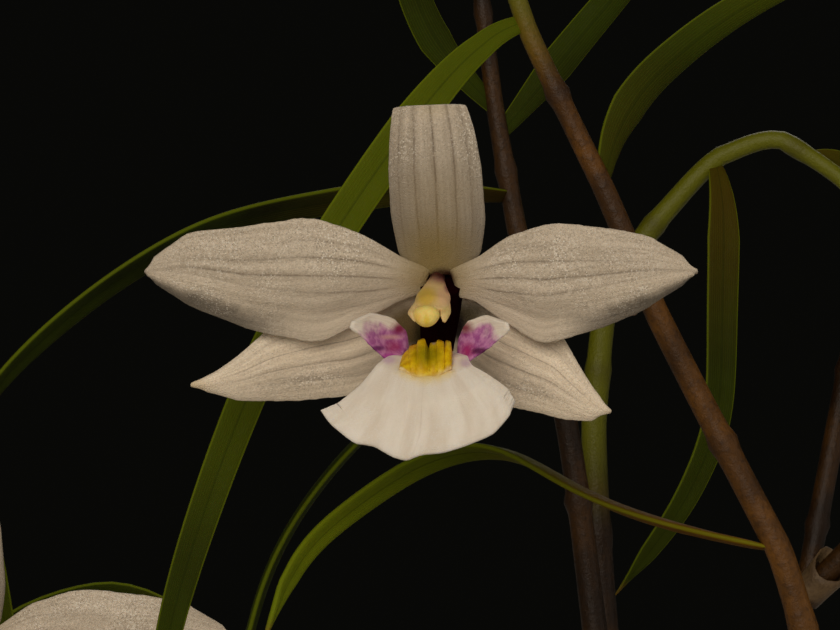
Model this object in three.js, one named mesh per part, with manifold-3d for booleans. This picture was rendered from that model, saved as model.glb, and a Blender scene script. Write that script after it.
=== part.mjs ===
// A potted orchid with thin branching canes, grass-like leaves and small white flowers.
// Millimetres, +Z up, the origin at the centre of the pot's underside, the plant's front towards -Y.
import * as THREE from "three";
import { mergeVertices } from "three/addons/utils/BufferGeometryUtils.js";
import Module from "manifold-3d";

const wasm = await Module();
wasm.setup();

// Pot
const POT_HEIGHT = 76;
const POT_TOP_RADIUS = 40;
const POT_BASE_RADIUS = 28;
const POT_WALL = 4.5;
const POT_FLOOR = 6;
const RIM_HEIGHT = 15;
const RIM_RADIUS = 43;
const RIM_ROUND = 1.6;
const DRAIN_RADIUS = 4;
const DRAIN_CIRCLE = 14;
const POT_SIDES = 30;

// Bark mix
const BARK_TOP = 66;
const BARK_DOME = 3;
const BARK_SHOULDER = 0.6;
const BARK_EDGE_DROP = 2;
const BARK_SIDES = 24;
const CHIP_COUNT = 28;
const CHIP_LENGTH = 14;
const CHIP_THICKNESS = [2.2, 4];
const GOLDEN_TURN = 2.4;
const CHIP_TILT = 0.35;
const CHIP_LIFT = 0.6;
const CHIP_INSET = 3.5;
const FIT = 0.3;
const HOLE_SLACK = 0.45;

// Canes and leaves
const CANE_FOOT = 54;
const CANE_BASE_RADIUS = 1.3;
const CANE_TIP_RADIUS = 0.42;
const CANE_SIDES = 5;
const CANE_STEP = 15;
const BARE_HEIGHT = 76;
const BRANCH_LENGTH = 52;
const BRANCH_RADIUS = 0.75;
const BRANCH_SIDES = 4;
const LEAF_THICKNESS = 0.6;
const LEAF_HALF_WIDTH = 1.0;
const LEAF_TAPER = 0.3;
const LEAF_STEPS = 4;
const LEAF_LENGTHS = [25, 38];
const LEAF_DROOPS = [0.35, 0.95];
const LEAF_SCATTER = 0.45;
const CLEARANCE = 0.45;
const FRONT_WINDOW = { centre: 1, halfWidth: 27, back: 62, low: 183, high: 228 };

// Flowers
const BLOOM_THICKNESS = 0.6;
const PEDICEL_RADIUS = 0.5;
const OVARY_RADIUS = 0.95;
const OVARY_SHARE = 0.4;
const STALK_START = [0, 0.2, -0.5];
const STALK_BEND = [0, 5.5, -1.2];
const STALK_SAG = [0, 0.5, -0.4];
const BUD_SWELLING = 1.5;
const BUD_REACH = [4, 7.5, 11];
const BUD_NOD = [0.6, 2.2, 5];

const UP = new THREE.Vector3(0, 0, 1);
const vector = ([x, y, z]) => new THREE.Vector3(x, y, z);
const curve = (points) => new THREE.CatmullRomCurve3(points, false, "catmullrom", 0.5);
const curveThrough = (rows) => curve(rows.map(vector));

// Seeded random numbers in 0 to 1
function randomFrom(seed) {
  let state = seed;
  return () => {
    state = (state * 1664525 + 1013904223) % 4294967296;
    return state / 4294967296;
  };
}

// Solids from geometries, and back
function solid(geometry) {
  geometry.deleteAttribute("normal");
  geometry.deleteAttribute("uv");
  const merged = mergeVertices(geometry, 1e-4);
  return new wasm.Manifold(
    new wasm.Mesh({
      numProp: 3,
      vertProperties: merged.attributes.position.array,
      triVerts: new Uint32Array(merged.index.array),
    }),
  );
}

function geometryOf(body) {
  const mesh = body.getMesh();
  const geometry = new THREE.BufferGeometry();
  geometry.setAttribute("position", new THREE.BufferAttribute(mesh.vertProperties, 3));
  geometry.setIndex(new THREE.BufferAttribute(mesh.triVerts, 1));
  geometry.computeVertexNormals();
  return geometry;
}

const join = (bodies) => bodies.reduce((whole, body) => whole.add(body));

function largestBody(body) {
  return body.decompose().reduce((most, next) => (next.volume() > most.volume() ? next : most));
}

// A flat grid carried onto a surface twice, half the thickness to either side, and closed by a rim.
// The surface takes u from 0 to 1 along and v from -1 to 1 across.
function blade(surface, along, across, thickness) {
  const sheet = new THREE.PlaneGeometry(1, 1, along, across);
  const flat = sheet.attributes.position;
  const step = 1e-3;
  const front = [];
  const back = [];
  for (let i = 0; i < flat.count; i++) {
    const u = flat.getX(i) + 0.5;
    const v = flat.getY(i) * 2;
    const forward = surface(Math.min(u + step, 1), v).sub(surface(Math.max(u - step, 0), v));
    const sideways = surface(u, Math.min(v + step, 1)).sub(surface(u, Math.max(v - step, -1)));
    const offset = forward.cross(sideways).setLength(thickness / 2);
    front.push(...surface(u, v).add(offset).toArray());
    back.push(...surface(u, v).sub(offset).toArray());
  }
  const faces = Array.from(sheet.index.array);
  const triangles = [...faces];
  for (let i = 0; i < faces.length; i += 3)
    triangles.push(faces[i] + flat.count, faces[i + 2] + flat.count, faces[i + 1] + flat.count);
  const row = along + 1;
  const rim = [];
  for (let i = 0; i < along; i++) rim.push(across * row + i);
  for (let j = across; j > 0; j--) rim.push(j * row + along);
  for (let i = along; i > 0; i--) rim.push(i);
  for (let j = 0; j < across; j++) rim.push(j * row);
  rim.forEach((p, i) => {
    const q = rim[(i + 1) % rim.length];
    triangles.push(p, p + flat.count, q + flat.count, p, q + flat.count, q);
  });
  const geometry = new THREE.BufferGeometry();
  geometry.setAttribute("position", new THREE.Float32BufferAttribute([...front, ...back], 3));
  geometry.setIndex(triangles);
  return solid(geometry);
}

// A round stem along a path: a cylinder whose rings are carried onto the path
function stem(path, radiusAt, sides, steps) {
  const geometry = new THREE.CylinderGeometry(1, 1, 1, sides, steps);
  const chord = path.getPoint(1).sub(path.getPoint(0));
  const spans = chord.toArray().map(Math.abs);
  const least = spans.indexOf(Math.min(...spans));
  const reference = new THREE.Vector3().setComponent(least, 1);
  const ring = geometry.attributes.position;
  for (let i = 0; i < ring.count; i++) {
    const t = 0.5 - ring.getY(i);
    const tangent = path.getTangent(t);
    const normal = reference.clone().cross(tangent).normalize();
    const binormal = tangent.clone().cross(normal);
    const point = path
      .getPoint(t)
      .addScaledVector(normal, ring.getX(i) * radiusAt(t))
      .addScaledVector(binormal, ring.getZ(i) * radiusAt(t));
    ring.setXYZ(i, point.x, point.y, point.z);
  }
  return solid(geometry);
}

// Pot: one turned profile with a thick rim, and four drain holes round the centre
function pot() {
  const inner = (z) =>
    THREE.MathUtils.mapLinear(z, 0, POT_HEIGHT, POT_BASE_RADIUS, POT_TOP_RADIUS) - POT_WALL;
  const outer = (z) => inner(z) + POT_WALL;
  const rimFoot = POT_HEIGHT - RIM_HEIGHT;
  const profile = [
    [0, 0],
    [POT_BASE_RADIUS - 1, 0],
    [POT_BASE_RADIUS, 1],
    [outer(rimFoot - 1), rimFoot - 1],
    [RIM_RADIUS - 1, rimFoot],
    [RIM_RADIUS, rimFoot + 1],
    [RIM_RADIUS + 0.6, POT_HEIGHT - RIM_ROUND],
    [RIM_RADIUS - 1, POT_HEIGHT],
    [inner(POT_HEIGHT) + 1, POT_HEIGHT],
    [inner(POT_HEIGHT), POT_HEIGHT - RIM_ROUND],
    [inner(POT_FLOOR), POT_FLOOR],
    [0, POT_FLOOR],
  ].map(([radius, z]) => new THREE.Vector2(radius, z));
  const shell = new THREE.LatheGeometry(profile, POT_SIDES).rotateX(Math.PI / 2);
  let body = solid(shell);
  for (let i = 0; i < 4; i++) {
    const angle = (i + 0.5) * (Math.PI / 2);
    const hole = new THREE.CylinderGeometry(DRAIN_RADIUS, DRAIN_RADIUS, POT_FLOOR * 4, 8);
    hole.rotateX(Math.PI / 2);
    hole.translate(DRAIN_CIRCLE * Math.cos(angle), DRAIN_CIRCLE * Math.sin(angle), 0);
    body = body.subtract(solid(hole));
  }
  return body;
}

// Bark mix: a domed plug that fills the pot, chips in relief on top, a plain hole for each cane
function bark(canes) {
  const inner = (z) =>
    THREE.MathUtils.mapLinear(z, 0, POT_HEIGHT, POT_BASE_RADIUS, POT_TOP_RADIUS) - POT_WALL - FIT;
  const floor = POT_FLOOR + FIT;
  const profile = [
    [0, floor],
    [inner(floor), floor],
    [inner(BARK_TOP - BARK_EDGE_DROP), BARK_TOP - BARK_EDGE_DROP],
    [inner(BARK_TOP) * BARK_SHOULDER, BARK_TOP + BARK_DOME * BARK_SHOULDER],
    [0, BARK_TOP + BARK_DOME],
  ].map(([radius, z]) => new THREE.Vector2(radius, z));
  const plug = new THREE.LatheGeometry(profile, BARK_SIDES).rotateX(Math.PI / 2);
  const chips = chipPlaces().map(({ size, turn, place }) => {
    const chip = new THREE.BoxGeometry(...size);
    chip.applyMatrix4(new THREE.Matrix4().makeRotationFromEuler(turn));
    chip.translate(...place);
    return solid(chip);
  });
  let body = join([solid(plug), ...chips]);
  for (const cane of canes) {
    const foot = cane.path.getPoint(0);
    const depth = POT_HEIGHT - CANE_FOOT;
    const radius = CANE_BASE_RADIUS + HOLE_SLACK;
    const hole = new THREE.CylinderGeometry(radius, radius, depth, 8).rotateX(Math.PI / 2);
    hole.translate(foot.x, foot.y, CANE_FOOT - FIT + depth / 2);
    body = body.subtract(solid(hole));
  }
  return largestBody(body);
}

function chipPlaces() {
  const random = randomFrom(31);
  const reach = POT_TOP_RADIUS - POT_WALL - CHIP_LENGTH / 2 - CHIP_INSET;
  return Array.from({ length: CHIP_COUNT }, (_, i) => {
    const radius = reach * Math.sqrt((i + 0.5) / CHIP_COUNT);
    const angle = i * GOLDEN_TURN + random() * 0.5;
    const length = CHIP_LENGTH * (0.6 + random() * 0.4);
    const width = length * (0.45 + random() * 0.25);
    const size = [length, width, THREE.MathUtils.lerp(...CHIP_THICKNESS, random())];
    const tilt = () => (random() - 0.5) * 2 * CHIP_TILT;
    const turn = new THREE.Euler(tilt(), tilt(), random() * Math.PI * 2);
    const z = BARK_TOP + BARK_DOME * (1 - radius / reach) * 0.8 + CHIP_LIFT;
    return { size, turn, place: [radius * Math.cos(angle), radius * Math.sin(angle), z] };
  });
}

// Canes. The four at the front are set point by point, from the foot in the bark to the young tip.
const FRONT_CANES = [
  {
    points: [
      [12, -6, CANE_FOOT],
      [12, -6, BARE_HEIGHT],
      [16, -10, 106],
      [24, -20, 146],
      [22, -28, 174],
      [16.8, -30, 194],
      [11, -30, 205.2],
      [8.5, -30, 211.1],
      [5, -30, 218.4],
      [3.6, -30.3, 222.6],
    ],
    start: 0.3,
    end: 0.5,
    count: 5,
  },
  {
    points: [
      [3, 4, CANE_FOOT],
      [3, 4, BARE_HEIGHT],
      [7, 4, 112],
      [11, 3, 150],
      [9.3, 0, 188.2],
      [7.7, 0, 199.7],
      [5.1, 0, 209.8],
      [3.9, 0, 216.6],
      [3, 0, 224],
    ],
    start: 0.28,
    end: 0.48,
    count: 4,
  },
  {
    points: [
      [-6, 9, CANE_FOOT],
      [-6, 9, BARE_HEIGHT],
      [-4, 12, 112],
      [5, 15, 150],
      [10.5, 15, 186],
      [9.8, 15, 199],
      [10.8, 15, 207],
      [13.8, 15, 210.8],
      [17, 15, 214],
      [20.5, 14.5, 214.8],
      [24.5, 14, 211.8],
      [28, 13, 206],
    ],
    start: 0.28,
    end: 0.46,
    count: 4,
  },
  {
    points: [
      [-12, -8, CANE_FOOT],
      [-12, -8, BARE_HEIGHT],
      [-17, -13, 104],
      [-27, -16, 140],
      [-29, -9, 168],
      [-26, -4, 184],
    ],
    start: 0.32,
    end: 0.88,
    count: 7,
  },
];

// The others lean out at an azimuth in degrees and arch over at a height and a reach.
const ARCHING_CANES = [
  { foot: [17, 5], azimuth: 12, height: 236, reach: 78 },
  { foot: [10, 15], azimuth: 48, height: 250, reach: 66 },
  { foot: [-1, 19], azimuth: 98, height: 178, reach: 60 },
  { foot: [-13, 14], azimuth: 142, height: 244, reach: 70 },
  { foot: [-18, 2], azimuth: 186, height: 222, reach: 82 },
  { foot: [2, -16], azimuth: 304, height: 168, reach: 58 },
];

const direction = (degrees) => {
  const angle = THREE.MathUtils.degToRad(degrees);
  return new THREE.Vector3(Math.cos(angle), Math.sin(angle), 0);
};

function archingCane({ foot, azimuth, height, reach }) {
  const [x, y] = foot;
  const out = direction(azimuth);
  const climb = height - BARE_HEIGHT;
  const at = (share, z) => [x + out.x * reach * share, y + out.y * reach * share, z];
  return {
    points: [
      [x, y, CANE_FOOT],
      [x, y, BARE_HEIGHT],
      at(0.06, BARE_HEIGHT + climb * 0.26),
      at(0.22, BARE_HEIGHT + climb * 0.56),
      at(0.47, BARE_HEIGHT + climb * 0.84),
      at(0.76, height),
      at(1, height - 4),
    ],
    start: 0.42,
    end: 0.96,
    count: 8,
    azimuth,
    branchAt: 0.56,
  };
}

function allCanes() {
  return [...FRONT_CANES, ...ARCHING_CANES.map(archingCane)].map((spec, i) => ({
    ...spec,
    name: `cane_${i + 1}`,
    path: curveThrough(spec.points),
    leaves: [],
    branches: [],
  }));
}

const caneRadius = (t) => THREE.MathUtils.lerp(CANE_BASE_RADIUS, CANE_TIP_RADIUS, Math.sqrt(t));
const branchRadius = (t) => THREE.MathUtils.lerp(BRANCH_RADIUS, CANE_TIP_RADIUS, t);

// A side branch leaves its cane at a slant and turns up a little
function branchOf(cane, side) {
  const base = cane.path.getPoint(cane.branchAt);
  const along = cane.path.getTangent(cane.branchAt);
  const out = direction(cane.azimuth + 90 * side);
  const at = (sideways, forward, up) =>
    base
      .clone()
      .addScaledVector(out, sideways * BRANCH_LENGTH)
      .addScaledVector(along, forward * BRANCH_LENGTH)
      .addScaledVector(UP, up * BRANCH_LENGTH);
  return { path: curve([base, at(0.2, 0.22, 0), at(0.45, 0.42, 0.06), at(0.72, 0.6, 0.06)]) };
}

// Leaves set point by point round the front flower: the cane's number, the blade's side, points
const FRONT_LEAVES = [
  {
    cane: 1,
    side: [0.9, 0.1, -0.35],
    points: [
      [4.9, -30, 218.7],
      [2.1, -31, 217.1],
      [-1.7, -33, 212.2],
      [-6.3, -35, 205],
      [-8.45, -36, 199.9],
      [-10.2, -36, 195],
      [-11.65, -35.5, 190],
      [-12.5, -34, 184.4],
    ],
  },
  {
    cane: 1,
    side: [0.6, 0.4, -0.7],
    points: [
      [8.5, -30, 211.2],
      [9.2, -29, 213.7],
      [10.7, -28, 216],
      [13.1, -27, 218.1],
      [15.9, -26, 220],
      [20.4, -25, 222],
      [25, -24, 221.6],
    ],
  },
  {
    cane: 1,
    side: [0.6, 0.75, -0.3],
    points: [
      [16.3, -30, 194.1],
      [11.5, -28.5, 195.2],
      [7.4, -27.5, 196.7],
      [3.8, -27.2, 198.9],
      [0.2, -27.8, 198.3],
      [-3.2, -29, 196],
      [-5.9, -30.5, 193.6],
      [-7.2, -32, 190],
    ],
  },
  {
    cane: 2,
    side: [0.2, 1, 0.1],
    points: [
      [7.7, 0, 199.8],
      [5.4, -12, 202.6],
      [0.5, -20, 202],
      [-3.4, -23, 198.7],
      [-6, -24, 195.4],
      [-7.8, -24, 191.7],
      [-9, -23, 186.4],
    ],
  },
  {
    cane: 2,
    side: [0.1, 0.75, -0.6],
    points: [
      [4.7, 0, 211.3],
      [-1, -6, 211.5],
      [-4.8, -9, 210.9],
      [-11, -12, 209.5],
      [-16.1, -13, 206.4],
      [-21.2, -12, 202],
      [-24.2, -11, 197.6],
    ],
  },
  {
    cane: 2,
    side: [0.85, 0.2, 0.5],
    points: [
      [3.9, 0, 216],
      [1.1, -0.5, 219.1],
      [-0.3, -1, 221.8],
      [-1.9, -2, 227],
      [-5, -3, 232],
      [-9.5, -4, 233],
    ],
  },
  {
    cane: 2,
    side: [0.7, 0.2, -0.7],
    points: [
      [4.2, 0, 214.6],
      [6.4, 1, 217.2],
      [8.5, 2, 219.8],
      [10.6, 2.5, 222.3],
      [14, 3, 226],
      [19.5, 4, 227.6],
      [24, 5, 225],
    ],
  },
  {
    cane: 3,
    side: [0.6, 0.6, 0.4],
    points: [
      [22, 14.4, 213.9],
      [24.5, 16.5, 213],
      [26.5, 18, 208],
      [27.2, 19, 201],
      [27, 19.5, 194],
    ],
  },
  {
    cane: 3,
    side: [1, 0.2, 0],
    points: [
      [16.6, 15, 213.6],
      [17, 13.4, 210.6],
      [16.8, 12.4, 204.4],
      [16.5, 12, 198.6],
      [14.4, 12, 194],
      [10.9, 12, 189.4],
    ],
  },
];

// Points with radii that stand for what is already placed
const placed = [];

function samplesAlong(path, radiusAt, owner, spacing) {
  const steps = Math.ceil(path.getLength() / spacing);
  return Array.from({ length: steps + 1 }, (_, i) => ({
    point: path.getPoint(i / steps),
    radius: radiusAt(i / steps),
    owner,
    share: i / steps,
  }));
}

// A leaf widens over its first quarter, tapers gently and rounds off at its tip
function leafWidth(u) {
  const opening = 0.35 + 0.65 * Math.min(1, u * 4);
  const rounding = Math.sqrt(1 - Math.pow(u, 6) * 0.95);
  return LEAF_HALF_WIDTH * opening * (1 - LEAF_TAPER * u) * rounding;
}

function isClear(samples) {
  return samples.every((sample) =>
    placed.every((other) => {
      const own = other.owner === sample.owner;
      if (own && sample.share < 0.22) return true;
      const apart = sample.radius + other.radius + CLEARANCE;
      return sample.point.distanceToSquared(other.point) > apart * apart;
    }),
  );
}

// The space before and round the front flower, which only its own leaves enter
function inFrontWindow({ x, y, z }) {
  const { centre, halfWidth, back, low, high } = FRONT_WINDOW;
  return Math.abs(x - centre) < halfWidth && y < back && z > low && z < high;
}

// A leaf that grows at a slant to its stem and arches over, turned until it is clear of the rest
function growLeaf(cane, base, along, outward, length, droop) {
  for (const turn of [0, 24, -24, 48, -48, 72, -72, 110, -110, 150]) {
    const out = outward.clone().applyAxisAngle(along, THREE.MathUtils.degToRad(turn));
    const at = (sideways, forward, down) =>
      base
        .clone()
        .addScaledVector(out, sideways * length)
        .addScaledVector(along, forward * length)
        .addScaledVector(UP, -down * length);
    const points = [
      base.clone(),
      at(0.14, 0.2, 0),
      at(0.38, 0.36, 0.05 * droop),
      at(0.66, 0.42, 0.3 * droop),
      at(0.86, 0.38, 0.8 * droop),
    ];
    const path = curve(points);
    const samples = samplesAlong(path, leafWidth, cane.name, 1.6);
    const blocked = samples.some(({ point }) => inFrontWindow(point));
    if (blocked || !isClear(samples)) continue;
    placed.push(...samples);
    cane.leaves.push({ path, side: out.clone().cross(along).normalize() });
    return;
  }
}

function leavesAlong(cane, path, start, end, count, seed) {
  const random = randomFrom(seed);
  for (let i = 0; i < count; i++) {
    const t = THREE.MathUtils.lerp(start, end, i / (count - 1));
    const along = path.getTangent(t);
    const flat = new THREE.Vector3(-along.y, along.x, 0).normalize();
    const jitter = (random() - 0.5) * 2 * LEAF_SCATTER;
    const outward = flat
      .multiplyScalar(i % 2 ? 1 : -1)
      .applyAxisAngle(along, jitter)
      .normalize();
    const length = THREE.MathUtils.lerp(...LEAF_LENGTHS, random());
    const droop = THREE.MathUtils.lerp(...LEAF_DROOPS, random());
    growLeaf(cane, path.getPoint(t), along, outward, length, droop);
  }
}

function leafSolid({ path, side }) {
  const surface = (u, v) => {
    const tangent = path.getTangent(u);
    const across = side.clone().addScaledVector(tangent, -side.dot(tangent)).normalize();
    return path.getPoint(u).addScaledVector(across, v * leafWidth(u));
  };
  return blade(surface, LEAF_STEPS + (path.points.length > 5 ? 2 : 0), 1, LEAF_THICKNESS);
}

function caneSolid(cane) {
  const steps = Math.round(cane.path.getLength() / CANE_STEP);
  const main = stem(cane.path, caneRadius, CANE_SIDES, steps);
  const sides = cane.branches.map(({ path }) => stem(path, branchRadius, BRANCH_SIDES, 5));
  return largestBody(join([main, ...sides, ...cane.leaves.map(leafSolid)]));
}

// Flower outlines in the flower's own frame: x to the right, z up, y away from the viewer.
// Each blade runs from its base to its tip between two edges of matching points.
const PETAL_LEFT = {
  first: [
    [-0.4, 0.45, 0.15],
    [-1.8, 0.2, 0.7],
    [-3.7, -0.2, 1.75],
    [-6, -0.35, 2.35],
    [-8.65, -0.2, 1.98],
    [-11, 0.25, 1.6],
    [-12.4, 0.6, 0.68],
    [-12.87, 0.8, 0.18],
  ],
  second: [
    [-0.45, 0.55, -0.8],
    [-1.9, 0.3, -1.3],
    [-3.75, 0, -2.3],
    [-5.6, -0.15, -3.04],
    [-8.4, 0, -2.43],
    [-10.9, 0.35, -1.45],
    [-12.3, 0.65, -0.54],
    [-12.87, 0.8, -0.14],
  ],
};
const PETAL_RIGHT = {
  first: [
    [0.4, 0.45, 0.1],
    [1.8, 0.2, 0.72],
    [3.2, -0.2, 1.62],
    [5, -0.5, 2.09],
    [7.35, -0.7, 1.88],
    [9.2, -0.95, 1.45],
    [10.45, -1.2, 0.68],
    [11.12, -1.35, 0.17],
  ],
  second: [
    [0.55, 0.55, -0.9],
    [1.6, 0.3, -1.36],
    [3, 0, -2.26],
    [4.6, -0.25, -3.07],
    [7, -0.5, -2.43],
    [9, -0.85, -1.54],
    [10.4, -1.15, -0.6],
    [11.12, -1.35, -0.14],
  ],
};
const DORSAL_SEPAL = {
  first: [
    [-1.1, 0.6, -0.1],
    [-1.78, 0.35, 0.95],
    [-2.15, -0.1, 2.6],
    [-2.22, -0.5, 4.6],
    [-2.1, -0.65, 6.1],
    [-2.02, -0.3, 6.8],
    [-1.5, 0.8, 6.6],
    [-0.65, 2.5, 5.5],
  ],
  second: [
    [0.75, 0.6, -0.1],
    [1.7, 0.35, 0.95],
    [1.87, -0.1, 2.6],
    [1.72, -0.5, 4.6],
    [1.38, -0.65, 6.25],
    [1.14, -0.3, 6.95],
    [0.7, 0.8, 6.7],
    [-0.25, 2.5, 5.6],
  ],
};
const SEPAL_LEFT = {
  first: [
    [-0.5, 1.1, -0.6],
    [-2.6, 1.05, -0.95],
    [-4.7, 1, -1.5],
    [-6.4, 0.95, -2],
    [-7.74, 0.9, -2.7],
    [-8.9, 0.8, -3.75],
    [-10, 0.7, -4.5],
    [-10.9, 0.6, -4.78],
  ],
  second: [
    [-0.3, 2.8, -3.5],
    [-1.9, 2.4, -4.7],
    [-3.6, 2, -5.35],
    [-5.4, 1.6, -5.53],
    [-7.2, 1.3, -5.61],
    [-8.9, 1, -5.55],
    [-10.1, 0.8, -5.2],
    [-10.85, 0.6, -5.06],
  ],
};
const SEPAL_RIGHT = {
  first: [
    [0.5, 1.1, -0.6],
    [2, 1.05, -0.95],
    [3.4, 1, -1.7],
    [4.6, 0.95, -2.3],
    [5.48, 0.9, -3],
    [6.1, 0.8, -4.15],
    [6.85, 0.7, -5.3],
    [7.55, 0.6, -6],
  ],
  second: [
    [0, 2.8, -3.5],
    [0.8, 2.4, -4.5],
    [1.9, 2, -5.3],
    [3.1, 1.6, -5.85],
    [4.4, 1.3, -6.15],
    [5.6, 1, -6.42],
    [6.6, 0.8, -6.46],
    [7.35, 0.6, -6.2],
  ],
};
const LIP_BLADE = {
  first: [
    [-0.9, 1.6, -3.75],
    [-1.7, -0.2, -3.55],
    [-2.2, -1.9, -3.7],
    [-2.75, -3, -4.15],
    [-3.75, -3.7, -5.15],
    [-5.05, -4, -5.95],
    [-4.45, -4.1, -6.8],
    [-3.4, -4.2, -7.4],
  ],
  second: [
    [0, 1.6, -3.75],
    [0.7, -0.2, -3.55],
    [1.2, -1.9, -3.75],
    [1.6, -3, -4.35],
    [2.6, -3.7, -4.8],
    [3.25, -4, -5.45],
    [2.6, -4.1, -6.5],
    [0.9, -4.2, -7.3],
  ],
};
const LIP_BOW = 0.6;
const SIDE_LOBE_LEFT = {
  first: [
    [-1.4, -0.6, -3.3],
    [-1.52, -0.9, -2.5],
    [-2.1, -1.5, -2],
    [-3, -2.2, -1.8],
    [-3.8, -2.9, -2.15],
  ],
  second: [
    [-1.75, -2, -3.8],
    [-2.4, -2.2, -3.72],
    [-2.95, -2.6, -3.2],
    [-3.5, -2.9, -2.65],
    [-3.88, -3, -2.42],
  ],
};
const SIDE_LOBE_RIGHT = {
  first: [
    [0.8, -0.6, -3.5],
    [0.85, -0.9, -2.8],
    [1.2, -1.5, -2.15],
    [2, -2.2, -1.9],
    [2.9, -2.9, -2.2],
  ],
  second: [
    [1, -2, -4],
    [1.45, -2.2, -3.7],
    [2.1, -2.6, -3.25],
    [2.7, -2.9, -2.75],
    [2.97, -3, -2.5],
  ],
};
const COLUMN = [
  [-0.04, 0.7, -0.3],
  [-0.3, -0.9, -1],
  [-0.55, -2.6, -1.7],
];
const COLUMN_FOOT = [
  [0.03, 0.6, -0.4],
  [0, 1.9, -2],
  [-0.08, 3, -3.7],
];
const CAP_CENTRE = [-0.6, -2.8, -1.87];
const CAP_RADIUS = 0.6;
const COLUMN_RADII = [0.8, 0.65];
const FOOT_RADII = [0.95, 0.9];
const WING_SIZE = [0.7, 0.8, 0.6];
const WINGS = [
  [-1.1, -2.3, -1.7],
  [0.15, -2.3, -1.8],
];
const RIDGES = [-1.25, -0.83, -0.43, -0.05, 0.3];
const RIDGE_WIDTH = 0.32;
const RIDGE_LENGTH = 2;
const RIDGE_HEIGHT = 1;
const RIDGE_SLOPE = 0.2;
const RIDGE_CENTRE = [-1.9, -3.62];

function between(edges, bow) {
  const first = curveThrough(edges.first);
  const second = curveThrough(edges.second);
  return (u, v) => {
    const point = first.getPoint(u).lerp(second.getPoint(u), (1 - v) / 2);
    point.z -= bow * Math.pow(u, 3) * (1 - v * v);
    return point;
  };
}

// Sepals, petals, column and its foot, with the ovary and the pedicel back to the cane
function perianth(steps, sides, stalk, wingPlaces) {
  const outlines = [PETAL_LEFT, PETAL_RIGHT, DORSAL_SEPAL, SEPAL_LEFT, SEPAL_RIGHT];
  const blades = outlines.map((edges) => blade(between(edges, 0), steps, 2, BLOOM_THICKNESS));
  const taper = (radii, t) => THREE.MathUtils.lerp(...radii, t);
  const column = stem(curveThrough(COLUMN), (t) => taper(COLUMN_RADII, t), sides, 2);
  const foot = stem(curveThrough(COLUMN_FOOT), (t) => taper(FOOT_RADII, t), sides, 2);
  const cap = new THREE.SphereGeometry(CAP_RADIUS, sides, 4).translate(...CAP_CENTRE);
  const wings = wingPlaces.map((place) =>
    solid(new THREE.BoxGeometry(...WING_SIZE).translate(...place)),
  );
  const ovary = stem(
    stalk,
    (t) => taper([OVARY_RADIUS, PEDICEL_RADIUS], Math.min(1, t / OVARY_SHARE)),
    sides,
    6,
  );
  return largestBody(join([...blades, column, foot, solid(cap), ...wings, ovary]));
}

// The lip: middle lobe and claw in one blade, two side lobes and a ridged callus
function lip(steps, ridgePlaces) {
  const middle = blade(between(LIP_BLADE, LIP_BOW), steps, 2, BLOOM_THICKNESS);
  const lobes = [SIDE_LOBE_LEFT, SIDE_LOBE_RIGHT].map((edges) =>
    blade(between(edges, 0), steps - 3, 1, BLOOM_THICKNESS),
  );
  const ridges = ridgePlaces.map((x) => {
    const ridge = new THREE.BoxGeometry(RIDGE_WIDTH, RIDGE_LENGTH, RIDGE_HEIGHT).rotateX(RIDGE_SLOPE);
    return solid(ridge.translate(x, ...RIDGE_CENTRE));
  });
  return largestBody(join([middle, ...lobes, ...ridges]));
}

// Flowers: the cane and place they hang from, the flower's centre, its turn and its size.
// A turn of 0 faces the front; the pitch nods the flower down.
const FLOWERS = [
  { cane: 1, at: 0.6745, centre: [0.87, -45, 206.87], turn: 0, pitch: 0, size: 1 },
  { cane: 4, at: 0.95, centre: [-22.9, -18, 188.8], turn: 4, pitch: -4, size: 1.25 },
  { cane: 5, at: 0.8, reach: 13, drop: 4, turn: 35, pitch: 10, size: 0.95 },
  { cane: 8, at: 0.8, reach: 13, drop: 4, turn: 300, pitch: 8, size: 1 },
  { cane: 9, at: 0.78, reach: 13, drop: 4, turn: 338, pitch: 10, size: 0.94 },
  { cane: 10, at: 0.86, reach: 13, drop: 3, turn: 334, pitch: 12, size: 0.97 },
];

function flowerGroup(spec, canes) {
  const path = canes[spec.cane - 1].path;
  const root = path.getPoint(spec.at);
  const group = new THREE.Group();
  group.rotation.set(
    THREE.MathUtils.degToRad(spec.pitch),
    0,
    THREE.MathUtils.degToRad(spec.turn),
    "ZXY",
  );
  const face = new THREE.Vector3(0, -1, 0).applyEuler(group.rotation);
  const centre = spec.centre
    ? vector(spec.centre)
    : root.clone().addScaledVector(face, spec.reach).addScaledVector(UP, -spec.drop);
  group.position.copy(centre);
  group.scale.setScalar(spec.size);
  group.updateMatrixWorld(true);
  return { group, root };
}

// The pedicel runs from behind the flower to the skin of the cane and stops short of it
function stalkPath(group, root, radius) {
  const end = group.worldToLocal(root.clone());
  const bend = vector(STALK_BEND);
  const away = end.clone().sub(bend).normalize();
  end.addScaledVector(away, -(radius + PEDICEL_RADIUS + FIT));
  const middle = bend.clone().lerp(end, 0.5).add(vector(STALK_SAG));
  return curve([vector(STALK_START), bend, middle, end]);
}

// A flower's own blades and pedicel as points with radii, so that leaves stay clear of them
function sampleFlower(group, stalk, owner) {
  const outlines = [PETAL_LEFT, PETAL_RIGHT, DORSAL_SEPAL, SEPAL_LEFT, SEPAL_RIGHT, LIP_BLADE];
  for (const edges of outlines)
    edges.first.forEach((row, i) => {
      const middle = vector(row).add(vector(edges.second[i])).multiplyScalar(0.5);
      const radius = vector(row).distanceTo(vector(edges.second[i])) / 2 + 0.4;
      placed.push({ point: group.localToWorld(middle), radius, owner });
    });
  for (const sample of samplesAlong(stalk, () => 0.8, owner, 1.2))
    placed.push({ ...sample, point: group.localToWorld(sample.point) });
}

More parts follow.
